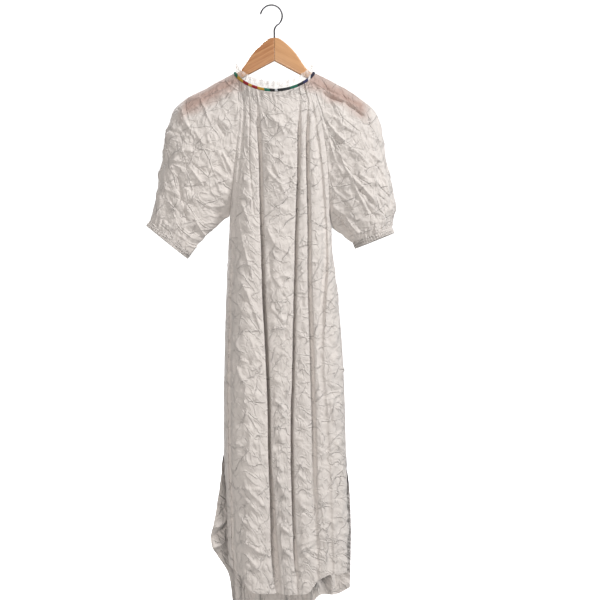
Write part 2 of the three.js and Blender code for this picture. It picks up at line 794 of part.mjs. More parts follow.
// The frill rises from the binding and waves more towards its free edge. It leans out in front and behind,
// and in over the hanger's arms.
function neckFrill() {
  const count = FRILL.waves * 4;
  const downs = [];
  const grid = [[], [], []];
  for (let j = 0; j < count; j++) {
    const angle = (2 * PI * j) / count;
    const down = neckDown(angle);
    downs.push(down);
    const outward = vec(sin(angle), -cos(angle), 0);
    const foot = neckPoint(angle).addScaledVector(down, -BINDING.high / 2 - SEAM - 0.15);
    grid.forEach((row, i) => {
      const rise = i / 2;
      const wave = lerp(FRILL.foot, FRILL.edge, rise) * sin((PI / 2) * j);
      const lean = FRILL.lean * cos(2 * angle) * rise * rise;
      const p = foot.clone().addScaledVector(outward, wave + lean);
      p.z += FRILL.high * rise;
      row.push(p);
    });
  }
  const normals = gridNormals(grid, true, 1);
  square(normals, 0, downs);
  return wall(grid, normals, FRILL.thick, true);
}

// ---------------------------------------------------------------- cuffs

// A band round the end of a sleeve, shirred into small ridges by its elastic.
function cuff(sleeve) {
  const count = CUFF.waves * 4;
  const down = cuffDown(sleeve);
  const grid = [0, 1].map((row) =>
    Array.from({ length: count }, (_, j) => {
      const turn = (2 * PI * j) / count;
      const p = sleeveEnd(sleeve, turn);
      const out = p.clone().sub(sleeveEnd(sleeve, turn + PI)).normalize();
      p.addScaledVector(out, CUFF.wave * sin((PI / 2) * j));
      return p.addScaledVector(down, row ? CUFF.high : SEAM);
    }),
  );
  const normals = gridNormals(grid, true, 1);
  return wall(grid, normals, CUFF.thick, true);
}

// ---------------------------------------------------------------- hanger and hook

// A rounded rectangle across the arm: how far out, its top and bottom, and how thick.
function woodRing(way, out, top, bottom, thick) {
  const r = min(WOOD.round, thick / 2.5, (top - bottom) / 2.5);
  const [y, high, mid] = [thick / 2, (top - bottom) / 2, (top + bottom) / 2];
  const ring = [];
  for (const [sy, sz] of [[1, 1], [-1, 1], [-1, -1], [1, -1]]) {
    const corner = [[0, r], [0.29 * r, 0.29 * r], [r, 0]];
    if (sy * sz < 0) corner.reverse();
    for (const [dy, dz] of corner) ring.push(vec(way * out, sy * (y - dy), mid + sz * (high - dz)));
  }
  return ring;
}

function woodArm(way) {
  const lower = (out) => ARM.notch - out * ARM.under;
  const rings = HUMP.map(({ out, top }) => woodRing(way, out, top, lower(out), WOOD.thick));
  TIP.forEach(({ out, draw, thick }) => {
    rings.push(woodRing(way, out, armTop(out) - draw, lower(out) + draw, thick));
  });
  const bore = new THREE.CylinderGeometry(WIRE / 2 + 0.3, WIRE / 2 + 0.3, 2 * WOOD.bore, 16);
  bore.rotateX(PI / 2).translate(0, 0, HUMP[0].top);
  const geometry = minus(skin(rings, false), bore);
  return geometry.translate(STEM_X, 0, 0);
}

function hook() {
  const path = [];
  for (let degrees = 168; degrees > -50; degrees -= 13.5) {
    const a = rad(degrees);
    path.push(vec(HOOK_RADIUS * cos(a), 0, HOOK_RADIUS * sin(a) - HOOK_RADIUS + WIRE / 2));
  }
  HOOK_BEND.forEach(({ x, z }) => path.push(vec(x, 0, z)));
  const curve = through(path);
  const steps = 34;
  const rings = [];
  for (let k = -2; k <= steps; k++) {
    const s = max(k, 0) / steps;
    const p = curve.getPointAt(s);
    const along = curve.getTangentAt(s);
    const across = vec(0, 1, 0).cross(along);
    // The first two rings round off the free tip.
    const radius = (WIRE / 2) * (k === -2 ? 0.45 : k === -1 ? 0.85 : 1);
    if (k < 0) p.addScaledVector(along, k === -2 ? -1.7 : -1.1);
    const ring = [];
    for (let m = 0; m < 8; m++) {
      const a = (2 * PI * m) / 8;
      ring.push(p.clone().addScaledVector(across, radius * cos(a)).add(vec(0, radius * sin(a), 0)));
    }
    rings.push(ring);
  }
  return skin(rings, false);
}

// ---------------------------------------------------------------- the whole

const made = panels();
const group = new THREE.Group();
function add(name, geometry, color, roughness = 0.9, metalness = 0) {
  const mesh = new THREE.Mesh(geometry, new THREE.MeshStandardMaterial({ color, roughness, metalness }));
  mesh.name = name;
  group.add(mesh);
}

const COTTON = 0xe4e2dd;
const BINDING_COLOUR = 0x7a5a3a;
const WOOD_COLOUR = 0xcf9f72;
const STEEL = 0x6c6c70;
add("front_panel", made.front, COTTON);
add("back_panel", made.back, COTTON);
add("sleeve_left", made.left, COTTON);
add("sleeve_right", made.right, COTTON);
add("neck_binding", neckBinding(), BINDING_COLOUR);
add("neck_frill", neckFrill(), COTTON);
add("cuff_left", cuff(SLEEVE_LEFT), COTTON);
add("cuff_right", cuff(SLEEVE_RIGHT), COTTON);
add("hanger_arm_left", woodArm(-1), WOOD_COLOUR, 0.5);
add("hanger_arm_right", woodArm(1), WOOD_COLOUR, 0.5);
add("hanger_hook", hook(), STEEL, 0.3, 1);

export default group;
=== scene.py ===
import math
import random

import bmesh
import bpy
import numpy as np
from mathutils import Euler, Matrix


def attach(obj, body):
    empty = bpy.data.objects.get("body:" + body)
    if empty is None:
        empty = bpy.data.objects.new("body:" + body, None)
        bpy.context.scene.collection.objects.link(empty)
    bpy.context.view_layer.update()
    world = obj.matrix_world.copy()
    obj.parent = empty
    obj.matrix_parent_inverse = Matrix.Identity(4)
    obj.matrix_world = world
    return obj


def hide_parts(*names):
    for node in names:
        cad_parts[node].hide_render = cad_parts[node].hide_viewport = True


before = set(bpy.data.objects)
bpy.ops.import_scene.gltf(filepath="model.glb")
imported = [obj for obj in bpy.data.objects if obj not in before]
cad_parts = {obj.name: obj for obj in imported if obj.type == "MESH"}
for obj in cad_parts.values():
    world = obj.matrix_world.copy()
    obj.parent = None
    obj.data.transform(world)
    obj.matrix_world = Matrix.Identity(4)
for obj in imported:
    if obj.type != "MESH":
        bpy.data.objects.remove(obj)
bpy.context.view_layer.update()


# ------------------------------------------------------------------ camera
# A level camera in front of the dress, at about its middle height, far enough back that the hanging cloth
# keeps its width from shoulder to hem.

VIEW_WIDTH = 1.32  # metres across the view at the hanger
CAMERA_AWAY = 3.2  # metres in front of the hanger
SENSOR = 36
camera_data = bpy.data.cameras.new("camera")
camera = bpy.data.objects.new("camera", camera_data)
bpy.context.scene.collection.objects.link(camera)
camera.location = (0.0631, -CAMERA_AWAY, -0.647)
camera.rotation_euler = Euler((math.radians(90), 0, 0))
camera_data.sensor_width = SENSOR
camera_data.lens = SENSOR * CAMERA_AWAY / VIEW_WIDTH
bpy.context.scene.camera = camera


# ------------------------------------------------------------------ floor, backdrop and light
# A white paper sweep: floor, curve and wall in one sheet, with a glow of its own so that it shows white. One
# soft box stands high on the right of the camera, one behind the dress lights its back, and a weaker one on
# the left lifts the shadows in the folds.

def linear(hex_colour):
    """An sRGB colour such as "d9d5d0" as linear red, green, blue and alpha."""
    values = [int(hex_colour[i:i + 2], 16) / 255 for i in (0, 2, 4)]
    return [v / 12.92 if v <= 0.04045 else ((v + 0.055) / 1.055) ** 2.4 for v in values] + [1]


def feed(made, inputs):
    """Sets a node's inputs, named or in order, and links those whose value is a node or one of its outputs."""
    for name, value in inputs.items() if isinstance(inputs, dict) else enumerate(inputs):
        if isinstance(value, bpy.types.Node):
            value = value.outputs[0]
        if isinstance(value, bpy.types.NodeSocket):
            made.id_data.links.new(value, made.inputs[name])
        else:
            made.inputs[name].default_value = value


def node(tree, kind, inputs=(), **settings):
    """Adds one shader node with its settings and inputs."""
    made = tree.nodes.new("ShaderNode" + kind)
    for name, value in settings.items():
        setattr(made, name, value)
    feed(made, inputs)
    return made


def material(name):
    """A new material: itself, its tree and its Principled shader."""
    made = bpy.data.materials.new(name)
    made.use_nodes = True
    return made, made.node_tree, made.node_tree.nodes["Principled BSDF"]


def add_mesh(name, points, faces, finish):
    """An object from points in millimetres, smooth shaded."""
    mesh = bpy.data.meshes.new(name)
    points = np.asarray(points, dtype=np.float32).reshape(-1, 3) / 1000
    faces = np.asarray(faces, dtype=np.int32)
    count, corners = faces.shape
    mesh.vertices.add(len(points))
    mesh.vertices.foreach_set("co", points.ravel())
    mesh.loops.add(count * corners)
    mesh.loops.foreach_set("vertex_index", faces.ravel())
    mesh.polygons.add(count)
    mesh.polygons.foreach_set("loop_start", np.arange(0, count * corners, corners, dtype=np.int32))
    mesh.update(calc_edges=True)
    mesh.shade_smooth()
    mesh.materials.append(finish)
    made = bpy.data.objects.new(name, mesh)
    bpy.context.scene.collection.objects.link(made)
    return made


paper, tree, shader = material("matt white paper")
feed(shader, {
    "Base Color": linear("f4f4f4"), "Roughness": 0.9, "Emission Color": (1, 1, 1, 1), "Emission Strength": 0.9,
})
# In millimetres: the floor's height, the wall's distance behind the dress and the curve's radius.
FLOOR, WALL, CURVE = -1420, 5900, 900
sweep = [(-5600, FLOOR), (WALL - CURVE, FLOOR)]
for a in np.linspace(0.1, math.pi / 2, 14):
    sweep.append((WALL - CURVE + CURVE * math.sin(a), FLOOR + CURVE - CURVE * math.cos(a)))
sweep.append((WALL, 3800))
sweep_points = [(x, y, z) for y, z in sweep for x in (-4200, 4200)]
sweep_faces = [(2 * k, 2 * k + 1, 2 * k + 3, 2 * k + 2) for k in range(len(sweep) - 1)]
paper_sweep = add_mesh("paper_sweep", sweep_points, sweep_faces, paper)
paper_sweep.visible_diffuse = False  # the paper shows white but throws no light up under the dress


def soft_box(name, place, aim, size, power, colour):
    """A rectangular lamp, turned to face its aim."""
    data = bpy.data.lights.new(name, "AREA")
    data.color = linear(colour)[:3]
    data.shape = "RECTANGLE"
    data.size, data.size_y = size
    data.energy = power
    lamp = bpy.data.objects.new(name, data)
    lamp.location = place
    toward = np.subtract(aim, place)
    flat = math.hypot(toward[0], toward[1])
    lamp.rotation_euler = Euler((math.atan2(flat, -toward[2]), 0, math.atan2(-toward[0], toward[1])))
    bpy.context.scene.collection.objects.link(lamp)


soft_box("key_light", (3.0, -1.9, 2.3), (0.05, 0, -0.75), (0.8, 0.8), 170, "fffdfb")
soft_box("back_light", (-1.7, 2.8, 2.3), (0, 0, -0.7), (1.2, 1.0), 180, "fbfaff")
soft_box("fill_light", (-1.0, -3.5, -0.9), (0, 0, -0.95), (1.2, 0.8), 53, "fff7f0")
world = bpy.data.worlds.new("studio")
world.use_nodes = True
feed(world.node_tree.nodes["Background"], {"Color": linear("f5f4f2"), "Strength": 0.28})
bpy.context.scene.world = world
bpy.context.scene.view_settings.view_transform = "Standard"


# ------------------------------------------------------------------ wooden hanger
# Two shaped arms of pale beech, glued at a joint in the middle. The edges are rounded over, and a clear
# varnish gives them a low shine.

STEM_X = 6.6  # millimetres, as all sizes below: the hanger's middle
ARM_SLOPE = 0.55
ARM_START = 84  # where the hump ends and the arm's straight top begins
HUMP = [
    # out from the middle, top edge
    (0.15, -70), (10, -71.5), (20, -78), (34, -90), (47, -104), (58, -120), (69, -136), (77, -144),
]
ARM_TIP = [
    # out, how much it draws in above and below, thick
    (84, 0, 12), (120, 0, 12), (160, 0, 11), (188, 0.5, 10), (198, 2, 9), (204, 4.6, 7), (206.5, 7, 4.5),
]


def arm_top(out):
    return -149 - (out - ARM_START) * ARM_SLOPE


def arm_under(out):
    return -122 - out * 0.53


def table(rows, place):
    """The other columns of a table at places along its first, on a smooth curve through its rows."""
    rows = np.array(rows, dtype=float)
    at, values = rows[:, 0], rows[:, 1:]
    way = np.sign(at[-1] - at[0])
    slope = np.empty_like(values)
    slope[1:-1] = (values[2:] - values[:-2]) / (at[2:] - at[:-2])[:, None]
    slope[0] = (values[1] - values[0]) / (at[1] - at[0])
    slope[-1] = (values[-1] - values[-2]) / (at[-1] - at[-2])
    place = np.clip(place, at.min(), at.max())
    i = np.clip(np.searchsorted(way * at, way * place, side="right") - 1, 0, len(at) - 2)
    span = at[i + 1] - at[i]
    t = ((place - at[i]) / span)[..., None]
    eased = values[i] + (values[i + 1] - values[i]) * t * t * (3 - 2 * t)
    return eased + span[..., None] * t * (1 - t) * ((1 - t) * slope[i] - t * slope[i + 1])


def skin(name, rings, finish):
    """A smooth solid over rings of points, closed at both ends by flat fans."""
    rings = np.array(rings)
    count, around = rings.shape[:2]
    last = (count - 1) * around
    points = np.vstack([rings.reshape(-1, 3), rings[0].mean(axis=0), rings[-1].mean(axis=0)])
    faces = [
        (a + m, a + around + m, a + around + (m + 1) % around, a + (m + 1) % around)
        for a in range(0, last, around) for m in range(around)
    ]
    made = add_mesh(name, points, faces, finish)
    fans = bmesh.new()
    fans.from_mesh(made.data)
    fans.verts.ensure_lookup_table()
    for centre, ring, way in ((count * around, 0, 1), (count * around + 1, last, -1)):
        for m in range(around):
            corners = [centre] + [ring + m, ring + (m + 1) % around][::way]
            fans.faces.new([fans.verts[i] for i in corners]).smooth = False
    bmesh.ops.recalc_face_normals(fans, faces=fans.faces)
    fans.to_mesh(made.data)
    fans.free()
    return made


def from_stem(tree, place):
    """Shader values: the parts of a place, and how far it lies beside the hanger's middle, with and without
    its sign."""
    parts = node(tree, "SeparateXYZ", [place])
    beside = node(tree, "Math", [parts.outputs["X"], STEM_X / 1000], operation="SUBTRACT")
    return parts, beside, node(tree, "Math", [beside], operation="ABSOLUTE")


def set_stops(ramp, stops):
    """Gives a colour ramp its stops: places along it and their colours."""
    for k, (at, colour) in enumerate(stops):
        stop = ramp.color_ramp.elements[k] if k < 2 else ramp.color_ramp.elements.new(at)
        stop.position, stop.color = at, linear(colour)


# Varnished beech: long fine grain along each arm, in broader bands, under a satin clear coat. The grain is
# about 2.4 mm wide and 70 mm long, and the bands are 11 mm wide and 200 mm long.
beech, tree, shader = material("varnished beech")
# Each arm falls at 29 degrees, so the grain is turned to run along it and mirrored at the middle.
parts, beside, away = from_stem(tree, node(tree, "TexCoord").outputs["Object"])
drop = node(tree, "Math", [away, ARM_SLOPE], operation="MULTIPLY")
across_grain = node(tree, "Math", [parts.outputs["Z"], drop], operation="ADD")
side = node(tree, "Math", [beside], operation="SIGN")
layer = node(tree, "Math", [side, 0.35, parts.outputs["Y"]], operation="MULTIPLY_ADD")
along_grain = node(tree, "CombineXYZ", [away, layer, across_grain])
fine = node(tree, "VectorMath", [along_grain, (14, 420, 420)], operation="MULTIPLY")
grain = node(tree, "TexNoise", {"Vector": fine, "Scale": 1.0, "Detail": 5, "Roughness": 0.62})
broad = node(tree, "VectorMath", [along_grain, (5, 90, 90)], operation="MULTIPLY")
bands = node(tree, "TexNoise", {"Vector": broad, "Scale": 1.0, "Detail": 2})
tone = node(tree, "Math", [bands, 0.36, 0.08], operation="MULTIPLY_ADD")
tone = node(tree, "Math", [grain, 0.5, tone], operation="MULTIPLY_ADD")
# The left arm is coloured darker than the right: partly a piece of wood with its own tone, partly painted shade
# for an arm that gets less light.
tone = node(tree, "Math", [side, 0.065, tone], operation="MULTIPLY_ADD")
browns = node(tree, "ValToRGB", [tone])
set_stops(browns, [(0.36, "a86c40"), (0.68, "dcab7c"), (0.52, "cb986a")])
bump = node(tree, "Bump", {"Strength": 0.12, "Distance": 0.0003, "Height": grain})
feed(shader, {
    "Base Color": browns, "Normal": bump, "Roughness": 0.42, "IOR": 1.5, "Coat Weight": 0.35,
    "Coat Roughness": 0.22,
})


def wood_ring(way, out, top, under, thick):
    """A rounded rectangle across the arm."""
    radius = min(4.2, thick / 2.2, (top - under) / 2.2)
    half_thick, half_high, middle = thick / 2, (top - under) / 2, (top + under) / 2
    ring = []
    for quarter, (sy, sz) in enumerate([(1, 1), (-1, 1), (-1, -1), (1, -1)]):
        for step in np.linspace(0, math.pi / 2, 6):
            a = quarter * math.pi / 2 + step
            y = sy * (half_thick - radius) + radius * math.cos(a)
            z = sz * (half_high - radius) + radius * math.sin(a)
            ring.append((STEM_X + way * out, y, middle + z))
    return ring


for name, way in (("left", -1), ("right", 1)):
    arm_rings = []
    outs = [np.linspace(0.15, 77, 36), np.linspace(80, 196, 30), np.linspace(198, 206.5, 9)]
    for out in np.concatenate(outs):
        draw, thick = table(ARM_TIP, np.array([out]))[0] if out > ARM_START else (0, 12)
        hump = HUMP + [(at, arm_top(at)) for at in (ARM_START, 95)]
        top = table(hump, np.array([out]))[0, 0] if out < ARM_START else arm_top(out)
        arm_rings.append(wood_ring(way, out, top - draw, arm_under(out) + draw, thick))
    arm = skin("hanger_arm_" + name + "_wood", arm_rings, beech)
    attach(arm, "root")
    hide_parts("hanger_arm_" + name)


# ------------------------------------------------------------------ hook
# Round spring-steel wire, bent to an open hook with a rounded tip and pressed into the top of the wood.
# Its dark nickel plating is a little dull, so it shows as a dark line with soft streaks.

HOOK_RADIUS = 23.9
WIRE = 3.6
nickel, tree, shader = material("dark nickel plated steel wire")
smear = node(tree, "TexNoise", {"Vector": node(tree, "TexCoord").outputs["Object"], "Scale": 160, "Detail": 3})
dull = node(tree, "MapRange", {"Value": smear, "To Min": 0.24, "To Max": 0.42})
feed(shader, {"Base Color": linear("55555a"), "Metallic": 1, "Roughness": dull})


def all_round(count):
    """Angles spaced evenly over a full turn."""
    return np.linspace(0, 2 * math.pi, count, endpoint=False)


def through(points, share):
    """Points at shares of the length of a smooth curve through the given points."""
    points = np.array(points, dtype=float)
    p = np.vstack([2 * points[0] - points[1], points, 2 * points[-1] - points[-2]])
    gap = np.linalg.norm(np.diff(p, axis=0), axis=1) ** 0.5
    t = np.linspace(0, 1, 40, endpoint=False)[:, None]
    dense = []
    for k in range(1, len(p) - 2):
        a, b, c = gap[k - 1], gap[k], gap[k + 1]
        leave = ((p[k] - p[k - 1]) / a - (p[k + 1] - p[k - 1]) / (a + b) + (p[k + 1] - p[k]) / b) * b
        arrive = ((p[k + 1] - p[k]) / b - (p[k + 2] - p[k]) / (b + c) + (p[k + 2] - p[k + 1]) / c) * b
        curve = (2 * t**3 - 3 * t**2 + 1) * p[k] + (t**3 - 2 * t**2 + t) * leave
        dense.append(curve + (3 * t**2 - 2 * t**3) * p[k + 1] + (t**3 - t**2) * arrive)
    dense = np.vstack(dense + [points[-1:]])
    length = np.concatenate([[0], np.cumsum(np.linalg.norm(np.diff(dense, axis=0), axis=1))])
    share = np.asarray(share) * length[-1]
    return np.stack([np.interp(share, length, dense[:, axis]) for axis in range(3)], axis=-1)


bend = [math.radians(a) for a in np.arange(168, -50, -13.5)]
wire_line = [(HOOK_RADIUS * math.cos(a), 0, HOOK_RADIUS * math.sin(a) - HOOK_RADIUS + WIRE / 2) for a in bend]
wire_line += [(11.9, 0, -43), (8.2, 0, -48.2), (STEM_X, 0, -54), (STEM_X, 0, -63), (STEM_X, 0, -91.5)]
wire_places = through(wire_line, np.linspace(0, 1, 150))
headings = np.gradient(wire_places, axis=0)
headings /= np.linalg.norm(headings, axis=1)[:, None]
tip = [(-1.75, 0.3), (-1.5, 0.62), (-1.0, 0.86), (-0.5, 0.97)]  # rounded end: distance beyond, radius
hook_rings = []
for centre, heading, radius in (
    [(wire_places[0] + headings[0] * beyond, headings[0], WIRE / 2 * share) for beyond, share in tip]
    + [(p, h, WIRE / 2) for p, h in zip(wire_places, headings)]
):
    sideways = np.array([heading[2], 0, -heading[0]])
    round_wire = [sideways * math.cos(a) + np.array([0, math.sin(a), 0]) for a in all_round(20)]
    hook_rings.append([centre + radius * offset for offset in round_wire])
hook = skin("hook_wire", hook_rings, nickel)
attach(hook, "root")
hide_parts("hanger_hook")


# ------------------------------------------------------------------ neck line
# The curve that the whole dress hangs from: a lens seen from above, resting on the two wooden arms at the
# sides and sagging in front and behind. Angle 0 is the front, 90 degrees the right and 180 the back.

NECK_HALF_WIDTH = 87
NECK_DEEP, NECK_SAG = (46, 40), (45, 34)  # in front and behind: how far it stands off the arms and sags
NECK_Z = arm_top(NECK_HALF_WIDTH) + 4
BINDING_HIGH = 6.5


def neck_point(angle):
    c, s = np.cos(angle), np.sin(angle)
    deep, sag = [np.where(c > 0, *ways) for ways in (NECK_DEEP, NECK_SAG)]
    return np.stack([STEM_X + NECK_HALF_WIDTH * s, -deep * c, NECK_Z - sag * np.abs(c) ** 1.4], axis=-1)


def neck_down(angle):
    """The way the cloth leaves the binding."""
    c, s = np.cos(angle), np.sin(angle)
    way = np.stack([0.9 * s**3, -0.2 * c, -(1 - 0.52 * s * s)], axis=-1)
    return way / np.linalg.norm(way, axis=-1, keepdims=True)


def neck_edge(angle):
    return neck_point(angle) + neck_down(angle) * (BINDING_HIGH / 2 + 0.3)


# ------------------------------------------------------------------ front and back
# Two wide panels of thin white cotton, gathered into the neck binding and sewn to the sleeves along slanted
# raglan seams. Below the side seams they part into slits, and both hems curve. The cloth hangs in deep
# narrow folds and is creased all over from being packed.

RAGLAN = math.radians(60)
RAGLAN_SEAM = {
    # z, x, front, back
    "left": [
        (-235, -69, 34, 31), (-320, -76, 35, 33), (-400, -84, 27, 26), (-447, -90, 12, 12), (-463, -92, 0, 0),
    ],
    "right": [
        (-235, 104, 34, 31), (-320, 120, 35, 33), (-410, 127, 29, 28), (-468, 130, 13, 13), (-489, 134, 0, 0),
    ],
}
SLIT_TOP = -985
BODY = [
    # z, left, right, front, back
    (-188, -92, 134, 45, 41), (-300, -92, 134, 48, 46), (-463, -92, 132, 48, 47), (-540, -95, 135, 49, 48),
    (-650, -100, 148, 50, 48), (-760, -103, 157, 50, 48), (-870, -105, 162, 50, 49), (-985, -105, 165, 50, 49),
    (-1150, -105, 172, 45, 40), (-1330, -105, 172, 36, 28),
]
SLIT_EDGES = {
    # z, x, y
    ("front", "left"): [(-985, -105, 0), (-1090, -98, -8), (-1180, -96, -13), (-1226, -91, -16)],
    ("front", "right"): [(-985, 165, 0), (-1090, 168, -10), (-1180, 167, -18), (-1242, 165, -22)],
    ("back", "left"): [
        (-985, -105, 0), (-1050, -113, 1), (-1118, -123, -9), (-1182, -131, -15), (-1245, -96, 2),
        (-1312, -86, 18),
    ],
    ("back", "right"): [(-985, 165, 0), (-1090, 174, 12), (-1180, 176, 20), (-1284, 174, 24)],
}
HEM = {
    # x, z
    "front": [
        (-91, -1226), (-68, -1247), (-44, -1279), (10, -1285), (80, -1284), (102, -1258), (124, -1246),
        (165, -1242),
    ],
    "back": [
        (-86, -1312), (-50, -1322), (20, -1329), (84, -1324), (108, -1303), (146, -1299), (174, -1284),
    ],
}
FOLDS = {
    # z, x, deep, round
    "front": [
        [(-188, -66, 2, 4), (-460, -78, 3, 4), (-650, -88, 7, 4), (-980, -89, 8, 4), (-1320, -78, 6, 6)],
        [
            (-188, -26, 5, 4), (-350, -22, 13, 4), (-540, -18, 20, 4), (-650, -14, 26, 4), (-860, -5, 28, 3.5),
            (-980, -2, 25, 3.2), (-1140, 7, 22, 7), (-1215, 13, 13, 8), (-1255, 16, 4, 8), (-1320, 18, 3, 8),
        ],
        [
            (-188, 58, 6, 3.5), (-350, 59, 14, 3), (-650, 52, 18, 3), (-980, 46, 20, 3), (-1150, 52, 13, 3.5),
            (-1220, 56, 4, 5), (-1320, 60, 3, 6),
        ],
        [
            (-188, 76, 6, 3.5), (-350, 79, 12, 3), (-650, 86, 12, 4.5), (-980, 94, 11, 5), (-1150, 98, 4, 6),
            (-1320, 104, 3, 7),
        ],
        [
            (-188, 84, 3, 5), (-350, 106, 5, 6), (-540, 118, 10, 6), (-650, 112, 9, 7), (-760, 108, 4, 9),
            (-980, 122, 3, 10), (-1320, 134, 4, 9),
        ],
    ],
    "back": [
        [
            (-188, -66, 4, 4), (-460, -68, 8, 5), (-650, -72, 14, 6), (-980, -76, 14, 6), (-1100, -74, 6, 6),
            (-1320, -70, 4, 6),
        ],
        [(-188, -40, 6, 4), (-350, -38, 16, 4), (-650, -34, 22, 4), (-980, -36, 23, 5), (-1320, -30, 9, 6)],
        [(-188, 8, 7, 6), (-350, 12, 17, 5), (-650, 18, 20, 4), (-980, 22, 21, 4), (-1320, 28, 8, 6)],
        [(-188, 50, 6, 4), (-350, 58, 15, 4), (-650, 70, 21, 4), (-980, 80, 22, 5), (-1320, 84, 9, 6)],
        [(-188, 80, 3, 5), (-350, 98, 8, 5), (-650, 116, 15, 6), (-980, 128, 15, 6), (-1320, 134, 5, 6)],
    ],
}
LIP = 5  # radius where a fold's side turns into the panel
FLATNESS = 4.5  # of a panel seen from above, where 2 would be half an ellipse
SLACK = [
    # z, how much straighter the back runs in from its free edges: the left corner hangs flat
    (-985, 0), (-1100, 1.5), (-1182, 2.4), (-1245, 1.6), (-1312, 0.8),
]
FOLD_STEPS = 13  # columns on each side of a fold
SEAM_BELOW = (11, 5, 5)  # steps of the cut lines: neck to armpit, armpit to slit, slit to hem


def raglan_seam(side, face, share):
    """Points along the seam between a body panel and a sleeve."""
    turn = RAGLAN if face < 0 else math.pi - RAGLAN
    way = -1 if side == "left" else 1
    rows = [(x, -front if face < 0 else back, z) for z, x, front, back in RAGLAN_SEAM[side]]
    return through([tuple(neck_edge(np.array(way * turn)))] + rows, np.asarray(share) ** 1.25)


def side_line(side, face, step):
    """Points down a panel's cut side. step counts down from the neck as in SEAM_BELOW."""
    neck, seam, slit = SEAM_BELOW
    step = np.asarray(step, dtype=float)
    points = raglan_seam(side, face, np.clip(step / neck, 0, 1))
    armpit = RAGLAN_SEAM[side][-1][0]
    column = 0 if side == "left" else 1
    z = armpit + (SLIT_TOP - armpit) * np.clip((step - neck) / seam, 0, 1)
    below = step > neck
    points[below] = np.stack([table(BODY, z)[:, column], z * 0, z], axis=-1)[below]
    edge = SLIT_EDGES["front" if face < 0 else "back", side]
    z = SLIT_TOP + (edge[-1][0] - SLIT_TOP) * np.clip((step - neck - seam) / slit, 0, 1)
    open_part = step > neck + seam
    points[open_part] = np.column_stack([table(edge, z), z])[open_part]
    return points


def fold_section(way, deep, round_):
    """How far across and how far in a point of a fold lies, from 0 at its bottom to 1 on the panel."""
    both = round_ + LIP
    turn = np.where(deep < both, np.arccos(np.clip(1 - deep / both, -1, 1)), math.pi / 2)
    straight = np.maximum(deep - both, 0)
    length = way * (both * turn + straight)
    bottom = length / round_
    rising = length - round_ * turn
    lip = LIP * (1 - np.cos(turn))
    over = turn - (rising - straight) / LIP
    in_bottom, in_side = length < round_ * turn, rising < straight
    across = np.where(in_side, round_ * np.sin(turn), both * np.sin(turn) - LIP * np.sin(over))
    inward = np.where(in_side, lip + straight - rising, LIP * (1 - np.cos(over)))
    across = np.where(in_bottom, round_ * np.sin(bottom), across)
    inward = np.where(in_bottom, deep - round_ * (1 - np.cos(bottom)), inward)
    return across, inward


def smooth(x):
    x = np.clip(x, 0, 1)
    return x * x * (3 - 2 * x)


